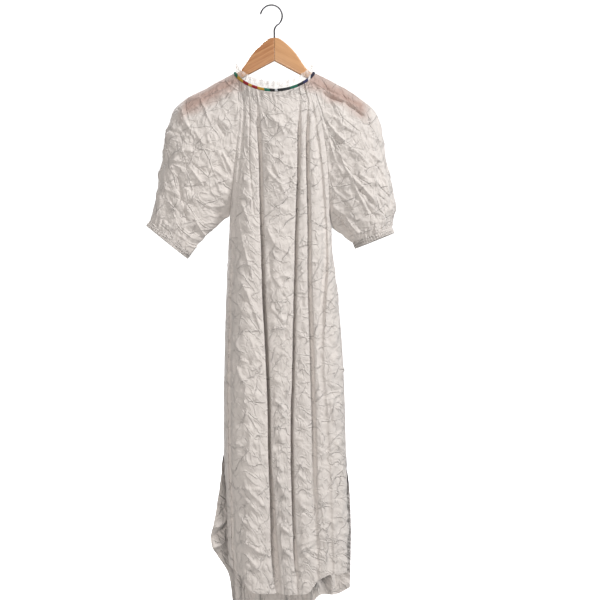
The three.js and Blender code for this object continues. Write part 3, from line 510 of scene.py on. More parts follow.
def body_grid(face, steps, plain, rng):
    """A body panel as rows and columns of points, before its creases. plain counts the columns of the flat
    parts between the folds. With the points comes how free each is to crease."""
    lefts, rights = side_line("left", face, steps), side_line("right", face, steps)
    mid_z = (lefts[:, 2] + rights[:, 2]) / 2
    neck = SEAM_BELOW[0]
    name = "front" if face < 0 else "back"
    centres, deeps, rounds, reaches = [], [], [], []
    spread = 3.5  # half of what a fold's cloth takes up at the neck, where the fold has faded
    for rows in FOLDS[name]:
        x, deep, round_ = table(rows, mid_z).T
        waver = 0
        for _ in range(3):
            waver = waver + rng.uniform(0.1, 0.4) * np.sin(mid_z / rng.uniform(28, 75) + rng.uniform(0, 6.3))
        reach = fold_section(1.0, deep, round_)[0]
        x = np.clip(x + waver * smooth((-mid_z - 200) / 90), lefts[:, 0] + reach + 5, rights[:, 0] - reach - 5)
        centres.append(x), deeps.append(deep), rounds.append(round_), reaches.append(reach)
    xs, neck_xs, inwards, loose = [], [], [], []
    for k in range(len(centres) + 1):
        start = lefts[:, 0] if k == 0 else centres[k - 1] + reaches[k - 1]
        end = rights[:, 0] if k == len(centres) else centres[k] - reaches[k]
        for i in range(plain[k]):
            part = i / plain[k]
            xs.append(start + (end - start) * part)
            neck_start = lefts[:, 0] if k == 0 else centres[k - 1] + spread
            neck_end = rights[:, 0] if k == len(centres) else centres[k] - spread
            neck_xs.append(neck_start + (neck_end - neck_start) * part)
            inner = 0 < k < len(centres)
            inwards.append(-0.09 * (end - start) * math.sin(math.pi * part) * inner)
            from_fold = np.minimum(part if k > 0 else 1, 1 - part if k < len(centres) else 1) * (end - start)
            loose.append(0.15 + 0.85 * smooth((from_fold + 1) / 9))
        if k < len(centres):
            for q in range(-FOLD_STEPS, FOLD_STEPS):
                across, inward = fold_section(abs(q) / FOLD_STEPS, deeps[k], rounds[k])
                xs.append(centres[k] + np.sign(q) * across)
                neck_xs.append(centres[k] + spread * q / FOLD_STEPS)
                inwards.append(inward)
                loose.append(np.where(deeps[k] > 9, 0.15, 0.5))
    xs.append(rights[:, 0])
    neck_xs.append(rights[:, 0])
    inwards.append(mid_z * 0)
    loose.append(mid_z * 0 + 1)
    x, neck_x, inward, loose = [np.stack(columns, axis=1) for columns in (xs, neck_xs, inwards, loose)]
    below = (mid_z[0] - mid_z)[:, None]
    # Towards the neck the folds close, and the cloth spreads evenly along the binding.
    even = np.where(steps[:, None] <= neck, 1 - smooth(below / 110), 0)
    left, right = lefts[:, None, :], rights[:, None, :]
    share = (x + (neck_x - x) * even - left[..., 0]) / (right[..., 0] - left[..., 0])

    def section(l, r, s):
        """Points of the smooth panel at shares of the way from its left cut edge to its right one."""
        z = l[..., 2] + (r[..., 2] - l[..., 2]) * s
        edge = face * (l[..., 1] + (r[..., 1] - l[..., 1]) * s)
        deep = table(BODY, z)[..., 2 if face < 0 else 3]
        start = 0.5 + 0.5 * edge / deep + (table(SLACK, z)[..., 0] if face > 0 else 0)
        crown = np.maximum(0, 1 - np.abs(2 * s - 1) ** FLATNESS) ** start
        x = l[..., 0] + (r[..., 0] - l[..., 0]) * s
        return np.stack([x, face * (edge + (deep - edge) * crown), z], axis=-1)

    points = section(left, right, share)
    angle = -RAGLAN + 2 * RAGLAN * share
    top = neck_edge(angle if face < 0 else math.pi - angle) - section(left[:1], right[:1], share)
    points += top * (np.maximum(0, 1 - steps / neck) ** 1.5)[:, None, None]
    corners = lefts[-1, 2] + (rights[-1, 2] - lefts[-1, 2]) * share
    open_part = np.clip((steps - neck - SEAM_BELOW[1]) / SEAM_BELOW[2], 0, 1)[:, None]
    points[..., 2] += (table(HEM[name], x)[..., 0] - corners) * open_part
    points[..., 1] -= face * inward * (1 - even)
    # The gathers: uneven small pleats below the binding, each of its own length, gone after a hand's width.
    at = share * 2 * math.pi
    gathers = np.zeros_like(x)
    for turns in (11, 15, 19, 24, 31, 37):
        fade = np.clip(1 - below / rng.uniform(28, 75), 0, 1) * (0.6 + 0.4 * np.sin(turns * 0.37 * at + turns))
        ripple = np.sin(turns * at + rng.uniform(0, 6.3) + 0.6 * np.sin(below / 30 + turns))
        gathers += rng.uniform(0.7, 1.3) * ripple * (0.4 + 1.2 * smooth(below / 12)) * fade
    points[..., 1] += face * gathers * np.minimum(1, 12 * np.minimum(share, 1 - share))
    return points, loose


def grid_normals(points, closed, outward):
    """Unit normals of a grid of points. outward is a sign that turns them all."""
    if closed:
        across = np.roll(points, -1, axis=1) - np.roll(points, 1, axis=1)
    else:
        across = np.gradient(points, axis=1)
    normal = np.cross(across, np.gradient(points, axis=0)) * outward
    return normal / np.maximum(np.linalg.norm(normal, axis=-1, keepdims=True), 1e-9)


def lengths(points, axis):
    """Running length in millimetres along the rows or the columns of a grid."""
    step = np.linalg.norm(np.diff(points, axis=axis), axis=-1)
    pad = [(1, 0) if k == axis else (0, 0) for k in range(2)]
    return np.cumsum(np.pad(step, pad), axis=axis)


def crease(height, a, b, line):
    """Adds one crease to a height map. a and b are the cloth's own two coordinates in millimetres. A line
    holds its two ends, its height (a ridge, or a trough if negative), its width and, if any, its bend."""
    a0, b0, a1, b1, high, width, bend = (*line, 0)[:7]
    reach = 3.2 * width
    rows = np.where((b.max(axis=1) > min(b0, b1) - reach) & (b.min(axis=1) < max(b0, b1) + reach))[0]
    if not len(rows):
        return
    part = slice(rows[0], rows[-1] + 1)
    length = math.hypot(a1 - a0, b1 - b0)
    ca, cb = (a1 - a0) / length, (b1 - b0) / length
    da, db = a[part] - (a0 + a1) / 2, b[part] - (b0 + b1) / 2
    along = (da * ca + db * cb) / (length / 2)
    off = db * ca - da * cb + bend * (1 - along**2)
    height[part] += high * np.exp(-np.abs(off) / width) * smooth((1.12 - np.abs(along)) * 2.4)


def facets(a, b, rng, pitch, turn, stretch):
    """Flat facets between sharp creases, from 0 at their edges to about 1: how much nearer a point lies to
    one knot of a scattered grid than to the next. They are about a pitch wide, and longer along the turn."""
    along = (a * math.cos(turn) + b * math.sin(turn)) / (pitch * stretch)
    across = (b * math.cos(turn) - a * math.sin(turn)) / pitch
    i, j = np.floor(along).astype(int), np.floor(across).astype(int)
    knots = np.random.default_rng(rng.randrange(10000)).random((61, 61, 2))
    nearest = np.full(a.shape, 9.0)
    second = nearest.copy()
    for k in range(9):
        column, row = i + k // 3 - 1, j + k % 3 - 1
        knot = knots[column % 61, row % 61]
        far = (column + knot[..., 0] - along) ** 2 + (row + knot[..., 1] - across) ** 2
        second = np.minimum(second, np.maximum(nearest, far))
        nearest = np.minimum(nearest, far)
    return second - nearest


def crushed(a, b, rng):
    """The uneven surface of packed cloth, in millimetres: three sizes of facet, turned each its own way."""
    height = 3.2 * facets(a, b, rng, 52, rng.uniform(0.9, 1.3), 1.6)
    height -= 2.6 * facets(a, b, rng, 36, rng.uniform(-0.7, -0.3), 1.5)
    return 1.25 * (height + 1.5 * facets(a, b, rng, 21, rng.uniform(1.7, 2.2), 1.5) - 0.8)


def scattered(rng, count, a_range, b_range, slants, length, high, width):
    """Creases strewn over a panel in small stars, one to four from a knot. slants lists their angles."""
    lines = []
    while len(lines) < count:
        a, b = rng.uniform(*a_range), rng.uniform(*b_range)
        for _ in range(rng.choice((1, 1, 2, 3, 4))):
            angle = math.radians(rng.choice(slants) + rng.gauss(0, 12)) + rng.choice((0, math.pi))
            reach = rng.uniform(*length)
            da, db = reach * math.cos(angle), reach * math.sin(angle)
            rise = rng.uniform(*high) * rng.choice((1, 1, -1))
            bend = rng.uniform(-0.04, 0.04) * reach
            lines.append((a - 0.1 * da, b - 0.1 * db, a + da, b + db, rise, rng.uniform(*width), bend))
    return lines


# Cotton voile: plain weave, crushed, no shine. It is thin enough for the hanger's arms to tint the shoulders.
cotton, tree, shader = material("crinkled white cotton voile")
place = node(tree, "TexCoord").outputs["Object"]
on_cloth = node(tree, "UVMap", uv_map="cloth")
# The tint runs in blots along the arms: how far above or below its middle line a point lies, in metres. The
# line falls with the arms from 0.1165 m below the rail.
parts, _, away = from_stem(tree, place)
off_arm = node(tree, "Math", [away, ARM_SLOPE, parts.outputs["Z"]], operation="MULTIPLY_ADD")
off_arm = node(tree, "Math", [off_arm, 0.1165], operation="ADD")
blot = node(tree, "TexNoise", {"Vector": place, "Scale": 34, "Detail": 3})
off_arm = node(tree, "Math", [blot, 0.034, off_arm], operation="MULTIPLY_ADD")
off_arm = node(tree, "Math", [off_arm, -0.015], operation="ADD")
off_arm = node(tree, "Math", [off_arm], operation="ABSOLUTE")
over_arm = node(tree, "MapRange", {"Value": off_arm, "From Min": 0.036, "From Max": 0.006})
before_tip = node(tree, "MapRange", {"Value": away, "From Min": 0.214, "From Max": 0.19})
tint = node(tree, "Math", [over_arm, before_tip], operation="MULTIPLY")
tint = node(tree, "Math", [tint, 0.7], operation="MULTIPLY")
patch = node(tree, "TexNoise", {"Vector": place, "Scale": 9, "Detail": 4})
white = node(tree, "MixRGB", {"Fac": patch, "Color1": linear("d6d1ce"), "Color2": linear("dfdad6")})
tinted = node(tree, "MixRGB", {"Fac": tint, "Color1": white, "Color2": linear("a98578")})
# Its threads lie 0.4 mm apart and are drawn 1.6 mm apart, so that they can show. A wave texture's bands lie
# 0.314 / scale metres apart.
threads = [
    node(tree, "TexWave", {"Vector": on_cloth, "Scale": 625 / 3.1416, "Distortion": 0.6, "Detail": 1},
         bands_direction=way).outputs["Fac"]
    for way in ("X", "Y")
]
weave = node(tree, "Math", threads, operation="ADD")
# Crushed cloth breaks into flat facets between sharp straight creases. A crease is the edge between two
# cells of a web, and it stands out, fades and turns inward by turns. Heights are in millimetres.
CREASE_WIDE = 2.0  # how far a crease falls off to each side
CREASE_WEBS = [
    # turn, pitch, stretch, crease height, facet height
    (1.1, 34, 2.2, 2.1, 1.8), (-0.5, 27, 2, 1.9, 1.5), (2.1, 17, 1.7, 1.4, 1.2), (0.4, 9, 1.5, 0.6, 0.6),
]
waves = node(tree, "TexNoise", {"Vector": on_cloth, "Scale": 30, "Detail": 1}).outputs["Color"]
wavering = node(tree, "VectorMath", [waves, (0.01, 0.01, 0), on_cloth], operation="MULTIPLY_ADD")
rise = 0
for turn, pitch, stretch, crease_high, facet_high in CREASE_WEBS:
    turned = node(tree, "Mapping", {"Vector": wavering, "Rotation": (0, 0, turn)})
    cells = node(tree, "VectorMath", [turned, (1000 / pitch / stretch, 1000 / pitch, 1)], operation="MULTIPLY")
    nearest, second, to_edge = [
        node(tree, "TexVoronoi", {"Vector": cells, "Scale": 1}, voronoi_dimensions="2D", feature=feature)
        for feature in ("F1", "F2", "DISTANCE_TO_EDGE")
    ]
    squares = [node(tree, "Math", [d, d], operation="MULTIPLY") for d in (second, nearest)]
    facet = node(tree, "Math", squares, operation="SUBTRACT")
    ridge = node(tree, "MapRange", {"Value": to_edge, "From Max": CREASE_WIDE / pitch, "To Min": 1, "To Max": 0})
    strength = node(tree, "TexNoise", {"Vector": turned, "Scale": 900 / pitch, "Detail": 0})
    strength = node(tree, "MapRange", {"Value": strength, "From Min": 0.3, "From Max": 0.62, "To Min": -0.15})
    crest = node(tree, "Math", [ridge, strength], operation="MULTIPLY")
    crest = node(tree, "Math", [crest, crease_high, rise], operation="MULTIPLY_ADD")
    rise = node(tree, "Math", [facet, facet_high, crest], operation="MULTIPLY_ADD")
bump = node(tree, "Bump", {"Strength": 1.0, "Distance": 0.001, "Height": rise})
bump = node(tree, "Bump", {"Strength": 0.12, "Distance": 0.00012, "Height": weave, "Normal": bump})
feed(shader, {
    "Base Color": tinted, "Normal": bump, "Roughness": 0.88, "IOR": 1.46, "Specular IOR Level": 0.25,
    "Sheen Weight": 0.12, "Sheen Roughness": 0.5,
})


def add_cloth(name, points, closed, replaced, finish=None, threads=None):
    """A sheet over a grid of points that stands for CAD nodes. threads says where each point lies on the
    cloth in millimetres, if not by its lengths along the grid."""
    rows, columns = points.shape[:2]
    i, j = np.meshgrid(np.arange(rows - 1), np.arange(columns if closed else columns - 1), indexing="ij")
    k = (j + 1) % columns
    faces = np.stack([i * columns + j, (i + 1) * columns + j, (i + 1) * columns + k, i * columns + k], axis=-1)
    made = add_mesh(name, points, faces.reshape(-1, 4), finish or cotton)
    u, v = threads or (lengths(points, 1), lengths(points, 0))
    thread = made.data.uv_layers.new(name="cloth")
    corner = faces.reshape(-1)
    places = np.stack([u.ravel()[corner], v.ravel()[corner]], axis=-1) / 1000
    thread.data.foreach_set("uv", places.ravel().astype(np.float32))
    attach(made, "root")
    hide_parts(*replaced)
    return made


# The main creases of the front, as seen from in front: two ends, height, width, bend.
FRONT_CREASES = [
    (-47, -193, -47, -350, -2.4, 1.5), (-47, -350, -35, -471, -2.4, 1.5), (-98, -333, -80, -376, 2.6, 3.5),
    (-80, -376, -50, -426, 2.6, 3.5, 2), (-76, -261, -58, -276, 1.6, 2.5, 1), (-18, -347, 22, -395, 3, 3.5, 3),
    (22, -395, 33, -426, 2.4, 3, 1), (-3, -331, 24, -389, 2.2, 3, 2), (15, -229, 29, -289, 1.8, 3, 3),
    (33, -241, 54, -262, 1.8, 2.5, 2), (31, -269, 57, -294, 2.2, 3), (40, -340, 60, -393, 2.4, 3, 1),
    (-16, -307, 24, -313, 1.5, 2, 1), (-14, -329, 28, -332, -1.6, 2), (33, -333, 60, -322, 1.4, 2),
    (-33, -241, -18, -280, 2, 3, 2), (-5, -243, 15, -265, 1.6, 2.5), (-86, -322, -51, -318, -1.4, 2),
    (-78, -438, -65, -499, 2.2, 3), (-65, -499, -36, -609, 2.4, 3, 3), (-65, -433, -44, -482, 2.2, 3, 1),
    (-88, -537, -69, -598, 2.6, 3), (-69, -598, -18, -723, 2.8, 3, -3), (-88, -512, -61, -620, -2, 3, 2),
    (-61, -620, -22, -719, -2, 3), (-88, -630, -75, -651, 2, 2.5), (-10, -486, 9, -529, 2.8, 3.5),
    (9, -529, 43, -548, 2.4, 3), (-1, -541, 14, -556, 2.2, 2.5), (-10, -613, 26, -592, 2.4, 2.5),
    (26, -592, 43, -598, 2.4, 2.5), (43, -598, 50, -626, 2, 2.5), (-6, -658, 32, -696, 2.2, 3),
    (35, -696, 50, -677, 2, 2.5), (20, -628, 40, -650, -1.6, 2.5), (103, -508, 132, -488, 2.4, 2.5, 2),
    (106, -518, 134, -501, 2.4, 2.5, 2), (104, -533, 130, -513, -2.2, 2.5, 2),
    (101, -497, 124, -486, -1.8, 2, 2), (127, -533, 108, -635, -3.2, 4, 2), (113, -637, 145, -651, 2, 2.5),
    (113, -637, 141, -628, 2, 2.5), (113, -637, 138, -662, 1.8, 2.5), (-86, -719, -64, -766, 2.4, 3),
    (-43, -733, -27, -780, 2.4, 3, 1), (-33, -739, -9, -798, 2, 3), (-86, -762, -74, -847, 2.8, 3, 1),
    (-78, -780, -54, -835, 2.6, 3, 1), (-54, -835, -58, -872, 2.4, 3), (-74, -776, -31, -781, 2.2, 2, 2),
    (-60, -872, -11, -851, 2.6, 3), (-88, -914, -74, -904, -2.4, 2.5), (-74, -904, -47, -916, -2.6, 2.5),
    (-47, -916, -45, -973, 2.2, 3), (20, -890, 36, -908, 2.6, 2.5), (4, -908, 36, -896, 2.2, 2.5, -2),
    (7, -862, 28, -882, 2.2, 2.5), (3, -980, 20, -969, 2.2, 2.5), (20, -969, 42, -982, 2.2, 2.5),
    (54, -947, 73, -949, 2, 2.5), (73, -949, 77, -921, 2, 2.5), (77, -921, 93, -912, -2.2, 2.5),
    (130, -866, 160, -843, 2.4, 2.5), (130, -866, 160, -853, -2, 2), (130, -866, 105, -880, 2.4, 2.5),
    (130, -866, 99, -855, 2, 2.5), (130, -866, 128, -827, 2.2, 2.5), (130, -866, 122, -896, 2.4, 2.5),
    (130, -866, 138, -917, 2.6, 2.5), (130, -866, 150, -888, 2.2, 2.5), (130, -866, 105, -912, -2, 2.5),
    (130, -774, 150, -768, 2.4, 2.5), (130, -774, 120, -750, 2.4, 2.5), (130, -774, 158, -803, 2.6, 2.5),
    (130, -774, 109, -803, 2.2, 2.5), (130, -774, 132, -822, 2.2, 2.5), (105, -937, 122, -982, 2.4, 3),
    (138, -953, 160, -982, 2.2, 3), (-95, -1068, -76, -1098, 3, 3), (-76, -1098, -51, -1134, 2.8, 3, 3),
    (-70, -1058, -45, -1090, 3, 3.5), (-45, -1090, -20, -1115, 3, 3), (-53, -1052, -7, -1100, 3, 3, 1),
    (-74, -1054, -9, -1056, 2.2, 2.5, 1), (-97, -1157, -76, -1178, 2.6, 3),
    (-66, -1172, -26, -1193, 2.6, 3, -3), (-36, -1188, -3, -1203, 2.4, 3), (-53, -1201, -22, -1237, 2.8, 3),
    (-28, -1247, -3, -1224, 2.4, 3), (18, -1134, 54, -1165, 6, 4), (16, -1138, 26, -1188, 5, 4),
    (24, -1188, 56, -1220, 5.5, 4, -3), (2, -1251, 27, -1270, 3, 3.5), (27, -1270, 58, -1281, 2.8, 3.5),
    (10, -1024, 33, -1077, 3, 3), (33, -1077, 46, -1041, 2.4, 2.5), (20, -1111, 39, -1079, 2.6, 3),
    (52, -1020, 81, -1041, 2.4, 3), (54, -1071, 77, -1102, 2.8, 3, 2), (55, -1108, 77, -1104, -2.4, 2.5),
    (60, -1182, 102, -1165, 2.6, 3, -3), (58, -1197, 96, -1178, 2.6, 3, -3), (56, -1188, 88, -1209, 2.2, 2.5),
    (88, -1209, 65, -1222, 2, 2.5), (105, -1079, 115, -1117, 2.8, 3.5), (115, -1117, 145, -1138, 2.8, 3.5),
    (96, -1220, 109, -1237, 2.2, 2.5), (122, -1176, 136, -1165, 2.2, 2.5), (126, -1199, 149, -1192, 2.2, 2.5),
    (150, -1100, 160, -1150, 2.4, 3.5),
]


HEM_HIGH = 9  # how much cloth is turned up


def crease_panel(name, face, plain, seed, main_creases):
    """A whole body panel: its folds, gathers and creases, and the ridge of its turned hem."""
    rng = random.Random(seed)
    armpit, slit, hem = np.cumsum(SEAM_BELOW)
    steps = np.concatenate([
        np.linspace(0, armpit, 118, endpoint=False), np.linspace(armpit, slit, 176, endpoint=False),
        np.linspace(slit, hem, 96),
    ])
    points, loose = body_grid(face, steps, plain, rng)
    normal = grid_normals(points, False, face)
    height = np.zeros(points.shape[:2])
    x, z = points[..., 0], points[..., 2]
    for line in main_creases:
        crease(height, x, z, line)
    height *= 1.4  # the whole table, so that it tells against the crushed surface
    across = lengths(points, 1)
    across = across - across[:, -1:] / 2
    width = float(across.max())
    slants = (110, 120, 60, 130, 40, 0, 90)
    for line in scattered(rng, 240, (-width, width), (-1330, -230), slants, (25, 80), (0.8, 1.8), (1.3, 2)):
        crease(height, across, z, line)
    height += crushed(across, z, rng)
    # Seams lie flat: creases fade out beside them, and the gathers take over near the neck.
    columns = across - across[:, :1]
    to_side = np.minimum(columns, columns[:, -1:] - columns)
    down = lengths(points, 0)
    free = smooth((steps - slit) * 2)[:, None]
    fade = np.maximum(smooth((to_side - 1.5) / 12), free) * smooth((down - 6) / 50)
    to_hem = down[-1:] - down
    height = height * fade * loose * (0.45 + 0.55 * smooth(to_hem / 16))
    # The hem is turned up, and its stitches sink in just above the doubled cloth.
    doubled = 0.7 * (1 - smooth((to_hem - HEM_HIGH) / 1.6))
    height += doubled - 0.5 * np.exp(-(((to_hem - (HEM_HIGH + 0.5)) / 1.2) ** 2))
    sewn = (steps <= slit)[:, None]
    height -= np.where(sewn, 0.4 * np.exp(-((to_side / 2.2) ** 2)), 0)
    return add_cloth(name + "_cotton", points + normal * height[..., None], False, [name + "_panel"])


front = crease_panel("front", -1, [8, 28, 34, 10, 22, 14], 5, FRONT_CREASES)

# The back has no print of the packing folds seen in front, so its main creases run their own way.
BACK_CREASES = [
    (-60, -300, -20, -372, 2.6, 3.5, 2), (-20, -372, 4, -446, 2.4, 3.5), (30, -330, 8, -410, 2.2, 3, 2),
    (95, -300, 70, -380, 2.4, 3), (70, -380, 60, -470, 2, 3), (-70, -470, -44, -560, 2.6, 3.5),
    (-20, -520, 14, -610, 2.8, 3.5, 3), (90, -520, 40, -600, 2.6, 3.5, 2), (120, -560, 90, -680, 2.4, 3.5),
    (-80, -640, -40, -720, 2.8, 3.5), (-30, -700, 10, -690, 2.2, 2.5, 2), (30, -690, 60, -780, 2.6, 3.5),
    (130, -720, 90, -800, 2.4, 3), (-70, -820, -20, -890, 2.8, 3.5, 2), (0, -830, 14, -930, 2.4, 3),
    (60, -860, 30, -900, 2.2, 2.5), (130, -880, 80, -960, 2.8, 3.5), (-90, -940, -50, -1010, 2.6, 3),
    (-30, -960, 16, -1040, 2.6, 3.5), (40, -1000, 70, -1080, 2.4, 3), (150, -1000, 110, -1090, 2.6, 3.5),
    (-100, -1060, -60, -1150, 2.8, 3.5), (-60, -1150, -30, -1160, 2.2, 2.5), (-20, -1090, 20, -1170, 3, 3.5, 2),
    (60, -1120, 30, -1200, 2.6, 3), (120, -1130, 90, -1220, 2.8, 3.5), (-90, -1200, -50, -1270, 2.8, 3.5),
    (10, -1210, 50, -1280, 2.6, 3), (90, -1230, 150, -1260, 2.4, 3, 2), (-40, -1240, 0, -1300, 2.4, 3),
    # The corner beside the left slit has rolled up.
    (-129, -1150, -92, -1112, -8, 5, 3), (-132, -1172, -96, -1140, 8, 5, 2),
    (-132, -1190, -102, -1172, -8, 4, 2), (-126, -1206, -100, -1196, 6, 4), (-118, -1096, -106, -1160, -3, 4),
]
back = crease_panel("back", 1, [12, 16, 24, 24, 16, 14], 11, BACK_CREASES)


# ------------------------------------------------------------------ sleeves
# Raglan sleeves of the same cotton, each one piece sewn along its underarm. They run from the neck over the
# hanger's arms, hang full, and are gathered at the elbow.

PUFF = 9  # how far each half swells in its middle
SLEEVES = {
    "left": dict(
        way=-1, cuff_depth=24, flat=(0.36, 0.345),
        over=[
            (-121, -168.5), (-163, -191), (-192, -207), (-213, -227), (-224, -253), (-233, -290), (-241, -335),
            (-249, -385), (-257, -432), (-266, -473),
        ],
        under=[(-105, -472), (-122, -484), (-140, -503), (-158, -524), (-176, -545)],
    ),
    "right": dict(
        way=1, cuff_depth=30, flat=(0.33, 0.325),
        over=[
            (133, -166), (169, -186), (202, -208), (226, -229), (238, -255), (247, -292), (254, -340),
            (262, -370), (270, -415), (273, -450), (265, -487),
        ],
        under=[(143, -496), (153, -503), (165, -512), (180, -521)],
    ),
}


def sleeve_end(sleeve, turn):
    """Points of the sleeve's end. The turn starts on the outer side and goes round the front."""
    outer, inner = [np.array((x, 0, z)) for x, z in (sleeve["over"][-1], sleeve["under"][-1])]
    w = ((1 - np.cos(turn)) / 2)[..., None]
    points = outer + (inner - outer) * w
    points[..., 1] = -sleeve["cuff_depth"] * np.sin(turn)
    return points


def cuff_down(sleeve):
    """The way the cuff leaves the sleeve's end."""
    along = np.subtract(sleeve["under"][-1], sleeve["over"][-1])
    along = np.abs(along / np.linalg.norm(along))
    return np.array((sleeve["way"] * along[1], 0, -along[0]))


def sleeve_grid(side, down, half):
    """Rings of points from the raglan seam to the cuff, first round the front and then back up behind."""
    sleeve = SLEEVES[side]
    s = np.linspace(0, 1, down)[:, None]
    armpit = RAGLAN_SEAM[side][-1]
    t = np.linspace(0, 1, half + 1)
    neck_part = 3 / 14  # of each half's top that is sewn to the neck binding, before the raglan seam
    neck_side = neck_edge(np.array(sleeve["way"] * math.pi / 2))
    over = through([tuple(neck_side)] + [(x, 0, z) for x, z in sleeve["over"]], s[:, 0])
    under = through([(armpit[1], 0, armpit[0])] + [(x, 0, z) for x, z in sleeve["under"]], s[:, 0])
    faces = []
    for face in (-1, 1):
        turn = RAGLAN if face < 0 else math.pi - RAGLAN
        on_neck = t < neck_part
        angle = sleeve["way"] * (math.pi / 2 + (turn - math.pi / 2) * np.minimum(t / neck_part, 1))
        seam = raglan_seam(side, face, np.clip((t - neck_part) / (1 - neck_part), 0, 1))
        seam[on_neck] = neck_edge(angle)[on_neck]
        w = (1 - np.cos(math.pi * t)) / 2
        end = sleeve_end(sleeve, -face * math.pi * t)
        s3, w3 = s[..., None], w[None, :, None]
        points = seam * (1 - s3) + end * s3
        points += over[:, None] * (1 - w3) + under[:, None] * w3
        outer, inner = end[0], end[-1]
        points -= (seam[0] * (1 - s3) + outer * s3) * (1 - w3) + (seam[-1] * (1 - s3) + inner * s3) * w3
        points[..., 1] += face * PUFF * np.sin(math.pi * t) * np.sin(math.pi * s)
        faces.append(points)
    return np.concatenate([faces[0], faces[1][:, -2:0:-1]], axis=1)


# The main creases of each half of a sleeve, both as seen from in front: two ends, height, width, bend.
SLEEVE_CREASES = {
    ("left", -1): [
        (-200, -217, -173, -280, 2.6, 2.2, 3), (-211, -226, -175, -275, 2, 2, 2),
        (-155, -201, -128, -266, 2.8, 2.4, 2), (-117, -185, -84, -168, -8, 3, 3),
        (-155, -202, -117, -185, -6, 3, 1), (-92, -194, -72, -172, -6, 2.8), (-117, -262, -99, -293, -2.4, 2),
        (-166, -275, -144, -311, 2.2, 2, 2), (-220, -331, -189, -322, 2.4, 2, 1),
        (-189, -322, -152, -323, 2.4, 2, 1), (-220, -340, -173, -347, 2.2, 2, 2),
        (-173, -347, -155, -363, -2.4, 2, 1), (-150, -360, -106, -325, 3.2, 2, 1),
        (-106, -325, -79, -376, 3, 2, 1), (-130, -358, -106, -376, 2.2, 2),
        (-178, -432, -144, -408, 3.2, 2.2, 1), (-144, -408, -97, -379, 3.2, 2, 1),
        (-133, -410, -90, -430, 2.4, 2, 2), (-204, -372, -189, -443, -3.4, 3, 2),
        (-189, -443, -184, -477, -2.8, 3), (-171, -365, -146, -401, 2.4, 2), (-144, -401, -128, -365, 2.4, 2),
        (-166, -471, -144, -508, 2.6, 2.2, 1), (-139, -443, -99, -439, 2.2, 2, 2),
        (-227, -289, -216, -275, 1.8, 1.8), (-186, -452, -178, -432, 2.4, 2), (-125, -285, -119, -300, 2, 2),
        (-140, -300, -118, -305, 2.6, 2, 1), (-230, -372, -212, -350, 2, 2), (-126, -460, -104, -452, -3, 3, 2),
    ],
    ("left", 1): [
        (-190, -220, -168, -300, 2.6, 2.2, 3), (-140, -215, -120, -290, 2.4, 2.2, 2),
        (-226, -300, -180, -330, 2.2, 2, 1), (-170, -350, -110, -330, 2.6, 2.2, 2),
        (-200, -380, -160, -440, 2.8, 2.4, 2), (-150, -390, -110, -440, -2.6, 2.4, 2),
        (-220, -420, -190, -470, 2.4, 2.2), (-160, -460, -140, -500, 2.4, 2, 1),
    ],
    ("right", -1): [
        (112, -176, 151, -198, -8, 3.2, 2), (151, -198, 203, -222, -8, 3.2, 1), (203, -220, 226, -232, -3, 2.4),
        (114, -193, 161, -215, -8, 3.4, 2), (161, -215, 203, -245, -8, 3.4, -2),
        (121, -258, 166, -310, 4, 2.2, 1), (118, -238, 151, -255, 2.2, 2, 1), (168, -313, 201, -327, 2.6, 2, 2),
        (213, -325, 240, -347, 2.6, 2, 1), (191, -327, 213, -352, 2.4, 2, 1), (151, -332, 175, -380, 3, 2.4, 2),
        (175, -380, 225, -432, 3.2, 2.4, -2), (181, -395, 225, -442, -2.8, 2.2, -2),
        (158, -407, 175, -420, 2.2, 2, 1), (191, -372, 213, -385, 2.4, 2, 1), (223, -370, 230, -400, 2.4, 2.2),
        (181, -397, 203, -440, 2.6, 2.2, 1), (203, -440, 213, -460, 2.4, 2.2), (127, -447, 149, -473, -6, 4.4),
        (149, -473, 174, -506, -8, 5, 2), (174, -506, 186, -528, -6, 4.4), (135, -438, 162, -462, 4, 3, 2),
        (162, -462, 192, -502, 4, 3, 2), (140, -290, 150, -312, -2.8, 4), (132, -212, 160, -240, 2, 2, 1),
        (246, -380, 258, -420, 2.2, 2), (150, -262, 190, -285, 2.4, 2, 2), (128, -300, 140, -340, 2.2, 2, 1),
    ],
    ("right", 1): [
        (130, -200, 190, -230, -3, 2.4, 2), (140, -260, 180, -320, 2.8, 2.2, 2),
        (210, -270, 240, -340, 2.4, 2.2, 2), (150, -350, 190, -390, 2.6, 2.2, 1),
        (180, -400, 230, -440, -2.8, 2.4, -2), (210, -360, 240, -410, 2.4, 2),
        (150, -420, 175, -480, 2.8, 2.4, 2), (230, -430, 250, -470, 2.4, 2.2),
    ],
}
